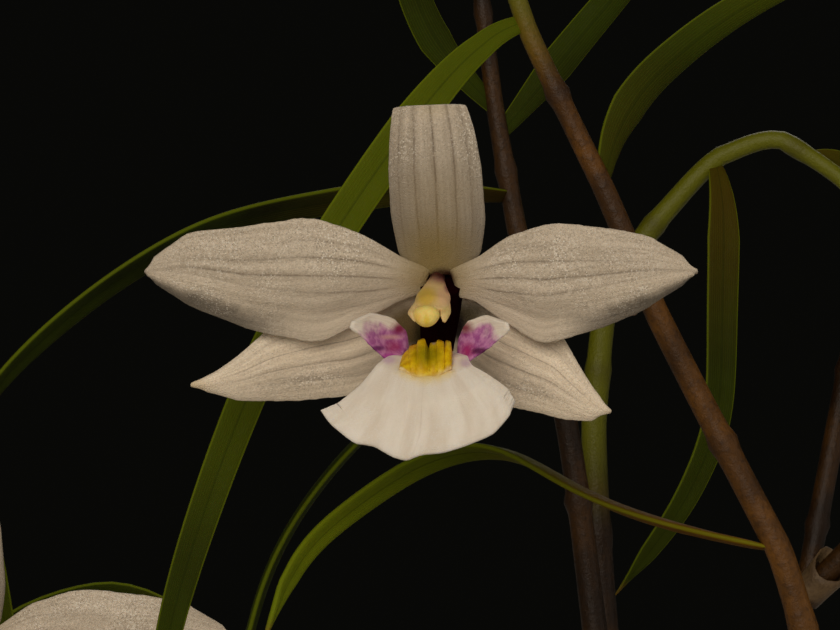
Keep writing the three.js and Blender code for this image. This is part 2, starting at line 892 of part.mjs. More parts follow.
// Buds: a pointed drop on a short pedicel
const BUDS = [
  { cane: 5, at: 0.9, turn: 85 },
  { cane: 8, at: 0.9, turn: 200 },
  { cane: 9, at: 0.9, turn: 120 },
];

function budPath(spec, canes) {
  const path = canes[spec.cane - 1].path;
  const root = path.getPoint(spec.at);
  const out = direction(spec.turn);
  const skin = caneRadius(spec.at) + PEDICEL_RADIUS + FIT;
  const start = root.clone().addScaledVector(out, skin);
  const rest = BUD_REACH.map((reach, i) =>
    root.clone().addScaledVector(out, reach).addScaledVector(UP, -BUD_NOD[i]),
  );
  return curve([start, ...rest]);
}

function budRadius(t) {
  if (t < 0.5) return PEDICEL_RADIUS;
  const s = (t - 0.5) * 2;
  return PEDICEL_RADIUS + BUD_SWELLING * Math.sin(Math.PI * Math.min(1, s * 0.96)) * (1 - 0.3 * s);
}

// Materials
const finish = (color, roughness) =>
  new THREE.MeshStandardMaterial({ color, roughness, metalness: 0 });
const terracotta = finish("#b4663f", 0.85);
const barkBrown = finish("#5b3d28", 0.9);
const leafGreen = finish("#4c6f1d", 0.5);
const petalWhite = finish("#e9e2d3", 0.55);
const lipWhite = finish("#f6f0e6", 0.5);
const budGreen = finish("#dfe0c0", 0.55);

function add(parent, name, body, material) {
  const mesh = new THREE.Mesh(geometryOf(body), material);
  mesh.name = name;
  parent.add(mesh);
}

// The whole plant in its pot
function plant() {
  const root = new THREE.Group();
  const canes = allCanes();
  for (const cane of canes) {
    if (cane.branchAt) cane.branches.push(branchOf(cane, cane.azimuth > 90 ? 1 : -1));
    placed.push(...samplesAlong(cane.path, caneRadius, cane.name, 1.2));
    for (const { path } of cane.branches)
      placed.push(...samplesAlong(path, branchRadius, cane.name, 1.2));
  }
  FLOWERS.forEach((spec, i) => {
    const { group, root: joint } = flowerGroup(spec, canes);
    const stalk = stalkPath(group, joint, caneRadius(spec.at));
    const name = `flower_${i + 1}`;
    const front = i === 0;
    const body = front ? perianth(8, 8, stalk, WINGS) : perianth(4, 5, stalk, []);
    add(group, name, body, petalWhite);
    add(group, `${name}_lip`, front ? lip(8, RIDGES) : lip(5, RIDGES.slice(1, 4)), lipWhite);
    root.add(group);
    sampleFlower(group, stalk, name);
  });
  BUDS.forEach((spec, i) => {
    const path = budPath(spec, canes);
    const name = `bud_${i + 1}`;
    add(root, name, stem(path, budRadius, 6, 7), budGreen);
    placed.push(...samplesAlong(path, budRadius, name, 1.2));
  });
  for (const { cane, side, points } of FRONT_LEAVES) {
    const path = curveThrough(points);
    canes[cane - 1].leaves.push({ path, side: vector(side).normalize() });
    placed.push(...samplesAlong(path, leafWidth, canes[cane - 1].name, 1.2));
  }
  canes.forEach((cane, i) => {
    leavesAlong(cane, cane.path, cane.start, cane.end, cane.count, 100 + i);
    cane.branches.forEach(({ path }, j) => leavesAlong(cane, path, 0.35, 0.97, 3, 200 + i * 5 + j));
    add(root, cane.name, caneSolid(cane), leafGreen);
  });
  add(root, "bark_mix", bark(canes), barkBrown);
  add(root, "pot", pot(), terracotta);
  return root;
}

export default plant();
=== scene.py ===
import math

import bpy
import numpy as np
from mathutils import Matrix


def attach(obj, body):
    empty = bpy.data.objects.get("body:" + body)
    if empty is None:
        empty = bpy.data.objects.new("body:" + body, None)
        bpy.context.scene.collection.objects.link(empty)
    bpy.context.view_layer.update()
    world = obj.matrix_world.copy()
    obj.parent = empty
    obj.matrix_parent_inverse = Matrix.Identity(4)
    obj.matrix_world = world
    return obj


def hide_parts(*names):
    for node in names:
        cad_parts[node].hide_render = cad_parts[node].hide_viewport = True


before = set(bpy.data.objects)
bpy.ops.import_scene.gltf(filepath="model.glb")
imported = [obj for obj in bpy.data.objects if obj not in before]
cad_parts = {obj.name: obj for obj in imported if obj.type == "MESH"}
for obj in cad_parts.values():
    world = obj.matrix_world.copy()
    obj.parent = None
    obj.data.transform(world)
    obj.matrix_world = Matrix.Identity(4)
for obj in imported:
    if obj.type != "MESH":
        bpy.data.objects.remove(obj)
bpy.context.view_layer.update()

MM = 0.001

# Pot and bark, as in the solids
POT_HEIGHT = 76
POT_TOP_RADIUS = 40
POT_BASE_RADIUS = 28
POT_WALL = 4.5
POT_FLOOR = 6
RIM_HEIGHT = 15
RIM_RADIUS = 43
RIM_ROUND = 1.6
BARK_TOP = 66
BARK_DOME = 3
CHIP_COUNT = 28
CHIP_LENGTH = 14
CHIP_THICKNESS = (2.2, 4)
CHIP_TILT = 0.35
CHIP_LIFT = 0.6
CHIP_INSET = 3.5
GOLDEN_TURN = 2.4
FIT = 0.3

# Canes and leaves, as in the solids
CANE_FOOT = 54
CANE_BASE_RADIUS = 1.3
CANE_TIP_RADIUS = 0.42
BARE_HEIGHT = 76
BRANCH_LENGTH = 52
BRANCH_RADIUS = 0.75
LEAF_HALF_WIDTH = 1.0
LEAF_TAPER = 0.3
LEAF_LENGTHS = (25, 38)
LEAF_DROOPS = (0.35, 0.95)
LEAF_SCATTER = 0.45
LEAF_TURNS = [0, 24, -24, 48, -48, 72, -72, 110, -110, 150]
BRANCH_LEAVES = {"start": 0.35, "end": 0.97, "count": 3}
CLEARANCE = 0.45
FRONT_WINDOW = {"centre": 1, "half_width": 27, "back": 62, "low": 183, "high": 228}

# Flower stalks and buds, as in the solids
PEDICEL_RADIUS = 0.5
OVARY_RADIUS = 0.95
STALK_START = [0, 0.2, -0.5]
STALK_BEND = [0, 5.5, -1.2]
STALK_SAG = [0, 0.5, -0.4]
BUD_SWELLING = 1.5
BUD_REACH = [4, 7.5, 11]
BUD_NOD = [0.6, 2.2, 5]

# Thickness of the fine blades
LEAF_THICKNESS = 0.34
PETAL_THICKNESS = 0.3
LIP_THICKNESS = 0.3
LOBE_THICKNESS = 0.22

# How finely the front flower and the leaves by it are divided, and all the others
NEAR_FLOWER_FINE = 1.0
FLOWER_FINE = 0.6
NEAR_LEAF_ROWS = 64
LEAF_ROWS = 32


# Curves and random numbers

def unit(v):
    return v / np.maximum(np.linalg.norm(v, axis=-1, keepdims=True), 1e-12)


def lerp(a, b, t):
    return a + (b - a) * t


def smooth(low, high, x):
    t = np.clip((x - low) / (high - low), 0, 1)
    return t * t * (3 - 2 * t)


class Path:
    """A curve through points, with t from 0 to 1 and the same share of t for each stretch. It
    leaves each point towards the next one, a little straighter than the solids' curve does."""

    def __init__(self, points):
        self.points = np.array(points, float)
        self.extended = np.vstack([self.points, 2 * self.points[-1] - self.points[-2]])

    def at(self, t):
        t = np.atleast_1d(np.asarray(t, float))
        spans = len(self.points) - 1
        i = np.minimum((t * spans).astype(int), spans - 1)
        w = (t * spans - i)[:, None]
        here, after, beyond = (self.extended[i + k] for k in range(3))
        leave, arrive = (after - here) / 2, (beyond - here) / 2
        square = -3 * here + 3 * after - 2 * leave - arrive
        cube = 2 * here - 2 * after + leave + arrive
        return here + leave * w + square * w**2 + cube * w**3

    def heading(self, t):
        t = np.atleast_1d(np.asarray(t, float))
        return unit(self.at(np.minimum(t + 1e-4, 1)) - self.at(np.maximum(t - 1e-4, 0)))

    def length(self):
        points = self.at(np.linspace(0, 1, 201))
        return np.linalg.norm(np.diff(points, axis=0), axis=1).sum()


def random_from(seed):
    """Seeded random numbers in 0 to 1, drawn in the same order as in the solids."""
    state = seed
    while True:
        state = (state * 1664525 + 1013904223) % 4294967296
        yield state / 4294967296


def turned(v, axis, angle):
    """One vector, or rows of them, turned about an axis."""
    cos, sin = math.cos(angle), math.sin(angle)
    along_axis = axis * np.asarray(v @ axis)[..., None]
    return v * cos + np.cross(axis, v) * sin + along_axis * (1 - cos)


def direction(degrees):
    angle = math.radians(degrees)
    return np.array([math.cos(angle), math.sin(angle), 0])


def ripple(t, seed, waves):
    """A smooth wander about 0 along t, of the given number of waves."""
    random = random_from(seed)
    total = 0
    for k in range(5):
        turns = waves * (0.6 + 0.9 * next(random))
        total = total + np.sin(2 * np.pi * (turns * t + next(random))) / (1 + 0.6 * k)
        waves *= 1.7
    return total / 2.2


# Canes: four at the front set point by point, the others from a rule

FRONT_CANES = [
    {
        "points": [[12, -6, CANE_FOOT], [12, -6, BARE_HEIGHT], [16, -10, 106], [24, -20, 146],
                   [22, -28, 174], [16.8, -30, 194], [11, -30, 205.2], [8.5, -30, 211.1],
                   [5, -30, 218.4], [3.6, -30.3, 222.6]],
        "start": 0.3, "end": 0.5, "count": 5,
    },
    {
        "points": [[3, 4, CANE_FOOT], [3, 4, BARE_HEIGHT], [7, 4, 112], [11, 3, 150],
                   [9.3, 0, 188.2], [7.7, 0, 199.7], [5.1, 0, 209.8], [3.9, 0, 216.6],
                   [3, 0, 224]],
        "start": 0.28, "end": 0.48, "count": 4,
    },
    {
        "points": [[-6, 9, CANE_FOOT], [-6, 9, BARE_HEIGHT], [-4, 12, 112], [5, 15, 150],
                   [10.5, 15, 186], [9.8, 15, 199], [10.8, 15, 207], [13.8, 15, 210.8],
                   [17, 15, 214], [20.5, 14.5, 214.8], [24.5, 14, 211.8], [28, 13, 206]],
        "start": 0.28, "end": 0.46, "count": 4,
    },
    {
        "points": [[-12, -8, CANE_FOOT], [-12, -8, BARE_HEIGHT], [-17, -13, 104], [-27, -16, 140],
                   [-29, -9, 168], [-26, -4, 184]],
        "start": 0.32, "end": 0.88, "count": 7,
    },
]

ARCHING_CANES = [
    {"foot": [17, 5], "azimuth": 12, "height": 236, "reach": 78},
    {"foot": [10, 15], "azimuth": 48, "height": 250, "reach": 66},
    {"foot": [-1, 19], "azimuth": 98, "height": 178, "reach": 60},
    {"foot": [-13, 14], "azimuth": 142, "height": 244, "reach": 70},
    {"foot": [-18, 2], "azimuth": 186, "height": 222, "reach": 82},
    {"foot": [2, -16], "azimuth": 304, "height": 168, "reach": 58},
]


def arching_cane(spec):
    x, y = spec["foot"]
    out = direction(spec["azimuth"])
    height, reach = spec["height"], spec["reach"]
    climb = height - BARE_HEIGHT

    def at(share, z):
        return [x + out[0] * reach * share, y + out[1] * reach * share, z]

    return {
        "points": [[x, y, CANE_FOOT], [x, y, BARE_HEIGHT], at(0.06, BARE_HEIGHT + climb * 0.26),
                   at(0.22, BARE_HEIGHT + climb * 0.56), at(0.47, BARE_HEIGHT + climb * 0.84),
                   at(0.76, height), at(1, height - 4)],
        "start": 0.42, "end": 0.96, "count": 8,
        "azimuth": spec["azimuth"], "branch_at": 0.56,
    }


def cane_radius(t):
    return lerp(CANE_BASE_RADIUS, CANE_TIP_RADIUS, np.sqrt(t))


def branch_radius(t):
    return lerp(BRANCH_RADIUS, CANE_TIP_RADIUS, t)


def branch_of(cane):
    """A side branch that leaves its cane at a slant and turns up a little."""
    side = 1 if cane["azimuth"] > 90 else -1
    base = cane["path"].at(cane["branch_at"])[0]
    along = cane["path"].heading(cane["branch_at"])[0]
    out = direction(cane["azimuth"] + 90 * side)
    up = np.array([0, 0, 1])
    shares = [[0, 0, 0], [0.2, 0.22, 0], [0.45, 0.42, 0.06], [0.72, 0.6, 0.06]]
    return Path([base + BRANCH_LENGTH * (out * s + along * f + up * u) for s, f, u in shares])


# Leaves round the front flower, set point by point: the cane's number, the blade's side, how
# light the green is at the base and at the tip (darker on some as painted shade), how dry the base
# is, and the points
FRONT_LEAVES = [
    (1, [0.9, 0.1, -0.35], (0.6, 0.12), 0,
     [[4.9, -30, 218.7], [2.1, -31, 217.1], [-1.7, -33, 212.2], [-6.3, -35, 205],
      [-8.45, -36, 199.9], [-10.2, -36, 195], [-11.65, -35.5, 190], [-12.5, -34, 184.4]]),
    (1, [0.6, 0.4, -0.7], (0.15, 0.35), 0.1,
     [[8.5, -30, 211.2], [9.2, -29, 213.7], [10.7, -28, 216], [13.1, -27, 218.1],
      [15.9, -26, 220], [20.4, -25, 222], [25, -24, 221.6]]),
    (1, [0.6, 0.75, -0.3], (0.5, 1), 1,
     [[16.3, -30, 194.1], [11.5, -28.5, 195.2], [7.4, -27.5, 196.7], [3.8, -27.2, 198.9],
      [0.2, -27.8, 198.3], [-3.2, -29, 196], [-5.9, -30.5, 193.6], [-7.2, -32, 190]]),
    (2, [0.2, 1, 0.1], (0.1, 0.1), 0.2,
     [[7.7, 0, 199.8], [5.4, -12, 202.6], [0.5, -20, 202], [-3.4, -23, 198.7],
      [-6, -24, 195.4], [-7.8, -24, 191.7], [-9, -23, 186.4]]),
    (2, [0.1, 0.75, -0.6], (0, 0.05), 0.2,
     [[4.7, 0, 211.3], [-1, -6, 211.5], [-4.8, -9, 210.9], [-11, -12, 209.5],
      [-16.1, -13, 206.4], [-21.2, -12, 202], [-24.2, -11, 197.6]]),
    (2, [0.85, 0.2, 0.5], (0.1, 0.05), 0,
     [[3.9, 0, 216], [1.1, -0.5, 219.1], [-0.3, -1, 221.8], [-1.9, -2, 227], [-5, -3, 232],
      [-9.5, -4, 233]]),
    (2, [0.7, 0.2, -0.7], (0.1, 0.15), 0,
     [[4.2, 0, 214.6], [6.4, 1, 217.2], [8.5, 2, 219.8], [10.6, 2.5, 222.3], [14, 3, 226],
      [19.5, 4, 227.6], [24, 5, 225]]),
    (3, [0.6, 0.6, 0.4], (0.2, 0.1), 0.3,
     [[22, 14.4, 213.9], [24.5, 16.5, 213], [26.5, 18, 208], [27.2, 19, 201],
      [27, 19.5, 194]]),
    (3, [1, 0.2, 0], (0.1, 0.15), 0.3,
     [[16.6, 15, 213.6], [17, 13.4, 210.6], [16.8, 12.4, 204.4], [16.5, 12, 198.6],
      [14.4, 12, 194], [10.9, 12, 189.4]]),
]


# Where along it a cane turns green, for those that do so sooner or later than the rest. Past 1
# it stays brown to its tip
YOUNG_FROM = {"cane_1": 0.955, "cane_2": 2.0, "cane_3": 0.78}
USUAL_YOUNG_FROM = 0.88

# How light a cane's bark is, for those that are lighter than the rest; the darker bark of the
# others is partly painted shade
BARK_LIGHT = {"cane_1": 0.9}
USUAL_BARK_LIGHT = 0.3


class Taken:
    """Points with radii that stand for what is already placed."""

    def __init__(self):
        self.points, self.radii, self.owners = [], [], []

    def add(self, points, radii, owner):
        self.points.append(points)
        self.radii.append(np.broadcast_to(radii, len(points)))
        self.owners += [owner] * len(points)

    def clear(self, points, radii, owner):
        """Whether new points touch nothing placed before. Near its base a leaf may touch the
        cane that it grows from."""
        own = np.array([name == owner for name in self.owners])
        near_base = np.linspace(0, 1, len(points)) < 0.22
        apart = radii[:, None] + np.concatenate(self.radii)[None] + CLEARANCE
        gap = ((points[:, None] - np.vstack(self.points)[None]) ** 2).sum(-1)
        return np.all((gap > apart**2) | (near_base[:, None] & own[None]))


def samples(path, spacing=1.2):
    return np.linspace(0, 1, math.ceil(path.length() / spacing) + 1)


def leaf_width(u):
    opening = 0.35 + 0.65 * np.minimum(1, u * 4)
    return LEAF_HALF_WIDTH * opening * (1 - LEAF_TAPER * u) * np.sqrt(1 - u**6 * 0.95)


def in_front_window(points):
    """Whether a leaf passes through the space round the front flower, which is kept open."""
    x, y, z = points.T
    across = abs(x - FRONT_WINDOW["centre"]) < FRONT_WINDOW["half_width"]
    upright = (z > FRONT_WINDOW["low"]) & (z < FRONT_WINDOW["high"])
    return np.any(across & upright & (y < FRONT_WINDOW["back"]))


def grow_leaf(cane, taken, base, along, outward, length, droop):
    """A leaf that arches over, turned about its stem until it is clear of the rest."""
    up = np.array([0, 0, 1])
    shares = [[0, 0, 0], [0.14, 0.2, 0], [0.38, 0.36, 0.05 * droop], [0.66, 0.42, 0.3 * droop],
              [0.86, 0.38, 0.8 * droop]]
    for turn in LEAF_TURNS:
        out = turned(outward, along, math.radians(turn))
        path = Path([base + length * (out * s + along * f - up * d) for s, f, d in shares])
        t = samples(path, 1.6)
        points = path.at(t)
        if in_front_window(points) or not taken.clear(points, leaf_width(t), cane["name"]):
            continue
        taken.add(points, leaf_width(t), cane["name"])
        cane["leaves"].append((path, unit(np.cross(out, along)), None, 0.3))
        return


def leaves_along(cane, taken, path, start, end, count, seed):
    random = random_from(seed)
    for i in range(count):
        t = lerp(start, end, i / (count - 1))
        along = path.heading(t)[0]
        flat = unit(np.array([-along[1], along[0], 0])) * (1 if i % 2 else -1)
        outward = unit(turned(flat, along, (next(random) - 0.5) * 2 * LEAF_SCATTER))
        length = lerp(*LEAF_LENGTHS, next(random))
        droop = lerp(*LEAF_DROOPS, next(random))
        grow_leaf(cane, taken, path.at(t)[0], along, outward, length, droop)


# Flowers: the cane and place they hang from, the centre or reach and drop, turn, pitch and size
FLOWERS = [
    {"cane": 1, "at": 0.6745, "centre": [0.87, -45, 206.87], "turn": 0, "pitch": 0, "size": 1},
    {"cane": 4, "at": 0.95, "centre": [-22.9, -18, 188.8], "turn": 4, "pitch": -4, "size": 1.25},
    {"cane": 5, "at": 0.8, "reach": 13, "drop": 4, "turn": 35, "pitch": 10, "size": 0.95},
    {"cane": 8, "at": 0.8, "reach": 13, "drop": 4, "turn": 300, "pitch": 8, "size": 1},
    {"cane": 9, "at": 0.78, "reach": 13, "drop": 4, "turn": 338, "pitch": 10, "size": 0.94},
    {"cane": 10, "at": 0.86, "reach": 13, "drop": 3, "turn": 334, "pitch": 12, "size": 0.97},
]
BUDS = [
    {"cane": 5, "at": 0.9, "turn": 85},
    {"cane": 8, "at": 0.9, "turn": 200},
    {"cane": 9, "at": 0.9, "turn": 120},
]


class Pose:
    """Where a flower sits: from its own frame to the plant's and back."""

    def __init__(self, spec, path):
        turn, pitch = math.radians(spec["turn"]), math.radians(spec["pitch"])
        about_z = np.array([[math.cos(turn), -math.sin(turn), 0],
                            [math.sin(turn), math.cos(turn), 0], [0, 0, 1]])
        about_x = np.array([[1, 0, 0], [0, math.cos(pitch), -math.sin(pitch)],
                            [0, math.sin(pitch), math.cos(pitch)]])
        self.rotation = about_z @ about_x
        self.root = path.at(spec["at"])[0]
        self.size = spec["size"]
        if "centre" in spec:
            self.centre = np.array(spec["centre"], float)
        else:
            face = self.rotation @ np.array([0, -1, 0])
            self.centre = self.root + face * spec["reach"] - np.array([0, 0, spec["drop"]])

    def out(self, points):
        return np.asarray(points) * self.size @ self.rotation.T + self.centre

    def back(self, point):
        return (point - self.centre) @ self.rotation / self.size


def stalk_path(pose, radius):
    end = pose.back(pose.root)
    bend = np.array(STALK_BEND)
    end = end - unit(end - bend) * (radius + PEDICEL_RADIUS + FIT)
    middle = (bend + end) / 2 + np.array(STALK_SAG)
    return Path([STALK_START, bend, middle, end])


def bud_path(spec, path):
    root = path.at(spec["at"])[0]
    out = direction(spec["turn"])
    start = root + out * (cane_radius(spec["at"]) + PEDICEL_RADIUS + FIT)
    return Path([start] + [root + out * s - np.array([0, 0, d])
                           for s, d in zip(BUD_REACH, BUD_NOD)])


def bud_radius(t):
    s = (t - 0.5) * 2
    swell = BUD_SWELLING * np.sin(np.pi * np.minimum(1, s * 0.96)) * (1 - 0.3 * s)
    return PEDICEL_RADIUS + np.where(t < 0.5, 0, swell)


# Flower outlines in the flower's own frame: x to the right, z up, y away from the viewer.
# Each blade runs from its base to its tip between two edges of matching points.
PETAL_LEFT = (
    [[-0.4, 0.45, 0.15], [-1.8, 0.2, 0.7], [-3.7, -0.2, 1.75], [-6, -0.35, 2.35],
     [-8.75, -0.2, 1.92], [-11, 0.25, 1.66], [-12.4, 0.6, 0.68], [-12.87, 0.8, 0.18]],
    [[-0.8, 0.55, -0.92], [-1.9, 0.3, -1.3], [-3.75, 0, -2.3], [-5.6, -0.15, -3.04],
     [-8.4, 0, -2.43], [-10.9, 0.35, -1.45], [-12.3, 0.65, -0.54], [-12.87, 0.8, -0.14]],
)
PETAL_RIGHT = (
    [[0.4, 0.45, 0.1], [1.8, 0.2, 0.72], [3.2, -0.2, 1.62], [5, -0.5, 2.09],
     [7.35, -0.7, 1.88], [9.2, -0.95, 1.45], [10.45, -1.2, 0.68], [11.12, -1.35, 0.17]],
    [[0.88, 0.5, -1.1], [1.65, 0.3, -1.32], [3, 0, -2.26], [4.6, -0.25, -3.07],
     [7, -0.5, -2.43], [9, -0.85, -1.54], [10.4, -1.15, -0.6], [11.12, -1.35, -0.14]],
)
DORSAL_SEPAL = (
    [[-1.1, 0.6, -0.1], [-1.82, 0.35, 0.95], [-2.13, -0.1, 2.6], [-2.23, -0.5, 4.6],
     [-2.13, -0.62, 6.3], [-2.03, -0.4, 7.04], [-1.8, 0.5, 6.85], [-0.65, 2.5, 5.6]],
    [[0.75, 0.6, -0.1], [1.78, 0.35, 0.9], [1.95, -0.1, 2.4], [1.76, -0.5, 4.7],
     [1.4, -0.62, 6.4], [1.12, -0.4, 7.17], [0.95, 0.5, 6.95], [-0.25, 2.5, 5.7]],
)
SEPAL_LEFT = (
    [[-0.5, 1.1, -0.6], [-2.6, 1.05, -0.95], [-4.7, 1, -1.5], [-6.4, 0.95, -2],
     [-7.74, 0.9, -2.7], [-8.9, 0.8, -3.75], [-10, 0.7, -4.5], [-10.9, 0.6, -4.78]],
    [[-0.3, 2.8, -3.5], [-1.9, 2.4, -4.7], [-3.6, 2, -5.35], [-5.4, 1.6, -5.53],
     [-7.2, 1.3, -5.61], [-8.9, 1, -5.55], [-10.1, 0.8, -5.2], [-10.85, 0.6, -5.06]],
)
SEPAL_RIGHT = (
    [[0.5, 1.1, -0.6], [2, 1.05, -0.95], [3.4, 1, -1.7], [4.6, 0.95, -2.3],
     [5.48, 0.9, -3], [6.1, 0.8, -4.15], [6.85, 0.7, -5.3], [7.55, 0.6, -6]],
    [[0, 2.8, -3.5], [0.8, 2.4, -4.5], [1.9, 2, -5.3], [3.1, 1.6, -5.85],
     [4.4, 1.3, -6.15], [5.6, 1, -6.42], [6.6, 0.8, -6.46], [7.35, 0.6, -6.2]],
)
LIP_BLADE = (
    [[-0.9, 1.6, -3.75], [-1.7, -0.2, -3.55], [-2.2, -1.9, -3.66], [-2.75, -3, -4.05],
     [-3.5, -3.6, -4.95], [-4.4, -3.9, -5.65], [-5.1, -4, -5.94]],
    [[0, 1.6, -3.75], [0.7, -0.2, -3.55], [1.2, -1.9, -3.7], [1.42, -3, -4.08],
     [2.1, -3.5, -4.46], [2.9, -3.9, -5.05], [3.18, -4, -5.55]],
)
# The lip's front hem, from its left corner to its right one
LIP_HEM = [[-5.1, -4, -5.94], [-4.6, -4.05, -6.6], [-3.6, -4.15, -7.35], [-2.75, -4.2, -7.5],
           [-2.0, -4.2, -7.93], [-1.4, -4.2, -8.06], [-0.75, -4.2, -7.82], [0.2, -4.2, -7.72],
           [1.2, -4.2, -7.4], [2.3, -4.1, -6.9], [2.95, -4.05, -6.15], [3.18, -4, -5.55]]
SIDE_LOBE_LEFT = (
    [[-1.4, -0.6, -3.3], [-1.52, -0.9, -2.5], [-2.1, -1.5, -2], [-3, -2.2, -1.8],
     [-3.8, -2.9, -2.15]],
    [[-1.75, -2, -3.8], [-2.4, -2.2, -3.72], [-2.95, -2.6, -3.2], [-3.5, -2.9, -2.65],
     [-3.88, -3, -2.42]],
)
SIDE_LOBE_RIGHT = (
    [[0.8, -0.6, -3.5], [0.85, -0.9, -2.8], [1.2, -1.5, -2.15], [2, -2.2, -1.9],
     [2.9, -2.9, -2.2]],
    [[1, -2, -4], [1.45, -2.2, -3.7], [2.1, -2.6, -3.25], [2.7, -2.9, -2.75],
     [2.97, -3, -2.5]],
)
COLUMN = [[-0.12, 0.7, -0.3], [-0.27, -0.9, -1], [-0.42, -2.6, -1.7]]
COLUMN_FOOT = [[0.03, 0.6, -0.4], [0, 1.9, -2], [-0.08, 3, -3.7]]
CAP_CENTRE = np.array([-0.6, -2.8, -1.87])
CAP_RADIUS = 0.6

# Where each vein runs across its blade, from -1 to 1, near the base, half way and near the tip;
# then how strongly it shows and how far along the blade it reaches
PETAL_VEINS = [(-0.72, -0.45, -0.42, 0.35, 0.6), (-0.38, -0.17, -0.1, 0.85, 0.75),
               (-0.02, 0.07, 0.03, 1.0, 1.0), (0.4, 0.35, 0.3, 0.9, 0.8),
               (0.74, 0.6, 0.55, 0.4, 0.7)]
DORSAL_VEINS = [(-0.7, -0.74, -0.78, 0.6, 1.2), (-0.38, -0.43, -0.48, 0.95, 1.2),
                (0.02, 0.0, 0.0, 1.2, 1.2), (0.42, 0.44, 0.42, 0.95, 1.2),
                (0.78, 0.78, 0.74, 0.6, 1.2)]
SEPAL_VEINS = [(-0.6, -0.5, -0.45, 0.45, 0.8), (-0.2, -0.15, -0.12, 0.8, 0.9),
               (0.2, 0.22, 0.2, 0.9, 0.95), (0.6, 0.6, 0.5, 0.5, 0.85)]
LIP_VEINS = [(-0.5, -0.45, -0.5, 0.12, 0.9), (0.0, 0.0, 0.0, 0.5, 1.1), (0.5, 0.45, 0.5, 0.12, 0.9)]


# The layout: each part is kept clear of those placed before it

def stand_canes(taken):
    canes = []
    for i, spec in enumerate(FRONT_CANES + [arching_cane(s) for s in ARCHING_CANES]):
        cane = {**spec, "name": f"cane_{i + 1}", "path": Path(spec["points"]), "leaves": [],
                "branches": []}
        if "branch_at" in cane:
            cane["branches"].append(branch_of(cane))
        lines = [(cane["path"], cane_radius)] + [(b, branch_radius) for b in cane["branches"]]
        for path, radius_at in lines:
            t = samples(path)
            taken.add(path.at(t), radius_at(t), cane["name"])
        canes.append({**cane, "lines": lines})
    return canes


def hang_flowers(canes, taken):
    outlines = [PETAL_LEFT, PETAL_RIGHT, DORSAL_SEPAL, SEPAL_LEFT, SEPAL_RIGHT, LIP_BLADE]
    flowers = []
    for i, spec in enumerate(FLOWERS):
        name = f"flower_{i + 1}"
        pose = Pose(spec, canes[spec["cane"] - 1]["path"])
        stalk = stalk_path(pose, cane_radius(spec["at"]))
        flowers.append({"name": name, "pose": pose, "stalk": stalk})
        for first, second in (np.array(edges, float) for edges in outlines):
            radii = np.linalg.norm(first - second, axis=1) / 2 + 0.4
            taken.add(pose.out((first + second) / 2), radii, name)
        taken.add(pose.out(stalk.at(samples(stalk))), 0.8, name)
    return flowers


def hang_buds(canes, taken):
    buds = []
    for i, spec in enumerate(BUDS):
        bud = {"name": f"bud_{i + 1}", "path": bud_path(spec, canes[spec["cane"] - 1]["path"])}
        t = samples(bud["path"])
        taken.add(bud["path"].at(t), bud_radius(t), bud["name"])
        buds.append(bud)
    return buds


def set_front_leaves(canes, taken):
    for number, side, tones, dry, points in FRONT_LEAVES:
        path, cane = Path(points), canes[number - 1]
        cane["leaves"].append((path, unit(np.array(side, float)), tones, dry))
        t = samples(path)
        taken.add(path.at(t), leaf_width(t), cane["name"])


def plant_layout():
    """Every cane, flower and bud in its place. The leaves that a rule places come last, so that
    they stay clear of the rest."""
    taken = Taken()
    canes = stand_canes(taken)
    flowers, buds = hang_flowers(canes, taken), hang_buds(canes, taken)
    set_front_leaves(canes, taken)
    for i, cane in enumerate(canes):
        leaves_along(cane, taken, cane["path"], cane["start"], cane["end"], cane["count"], 100 + i)
        for j, branch in enumerate(cane["branches"]):
            leaves_along(cane, taken, branch, **BRANCH_LEAVES, seed=200 + i * 5 + j)
    return canes, flowers, buds


# Meshes. A part is its points, its faces and the values that each point carries.

class Part:
    def __init__(self, points, faces, finish=0, **values):
        self.points = np.asarray(points, float)
        self.faces = faces
        self.finish = finish
        self.values = {name: np.asarray(v, float) for name, v in values.items()}

    def placed(self, pose):
        """The same part on the plant, which keeps its place in the flower as a value."""
        self.values["flower_place"] = self.points
        self.points = pose.out(self.points)
        return self


def piece_from(name, parts, finishes, slot_name, *nodes):
    """One smooth object from several parts in millimetres, riding on the plant."""
    points = np.vstack([part.points for part in parts])
    faces, finish_of, start = [], [], 0
    for part in parts:
        faces += [[start + corner for corner in face] for face in part.faces]
        finish_of += [part.finish] * len(part.faces)
        start += len(part.points)
    mesh = bpy.data.meshes.new(name)
    mesh.from_pydata((points * MM).tolist(), [], faces)
    mesh.polygons.foreach_set("use_smooth", [True] * len(mesh.polygons))
    mesh.polygons.foreach_set("material_index", finish_of)
    for finish in finishes:
        mesh.materials.append(finish)
    for value_name in sorted({key for part in parts for key in part.values}):
        rows = [part.values.get(value_name) for part in parts]
        width = max(row.ndim for row in rows if row is not None)
        kind = "FLOAT" if width == 1 else "FLOAT_VECTOR"
        filled = [np.zeros(len(p.points) if width == 1 else (len(p.points), 3)) if r is None else r
                  for p, r in zip(parts, rows)]
        layer = mesh.attributes.new(value_name, kind, "POINT")
        field = "value" if width == 1 else "vector"
        layer.data.foreach_set(field, np.concatenate(filled).ravel())
    mesh.update()
    return piece_of_mesh(name, mesh, slot_name, *nodes)


def piece_of_mesh(name, mesh, slot_name, *nodes):
    piece = bpy.data.objects.new(name, mesh)
    bpy.context.scene.collection.objects.link(piece)
    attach(piece, "root")
    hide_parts(*nodes)
    return piece


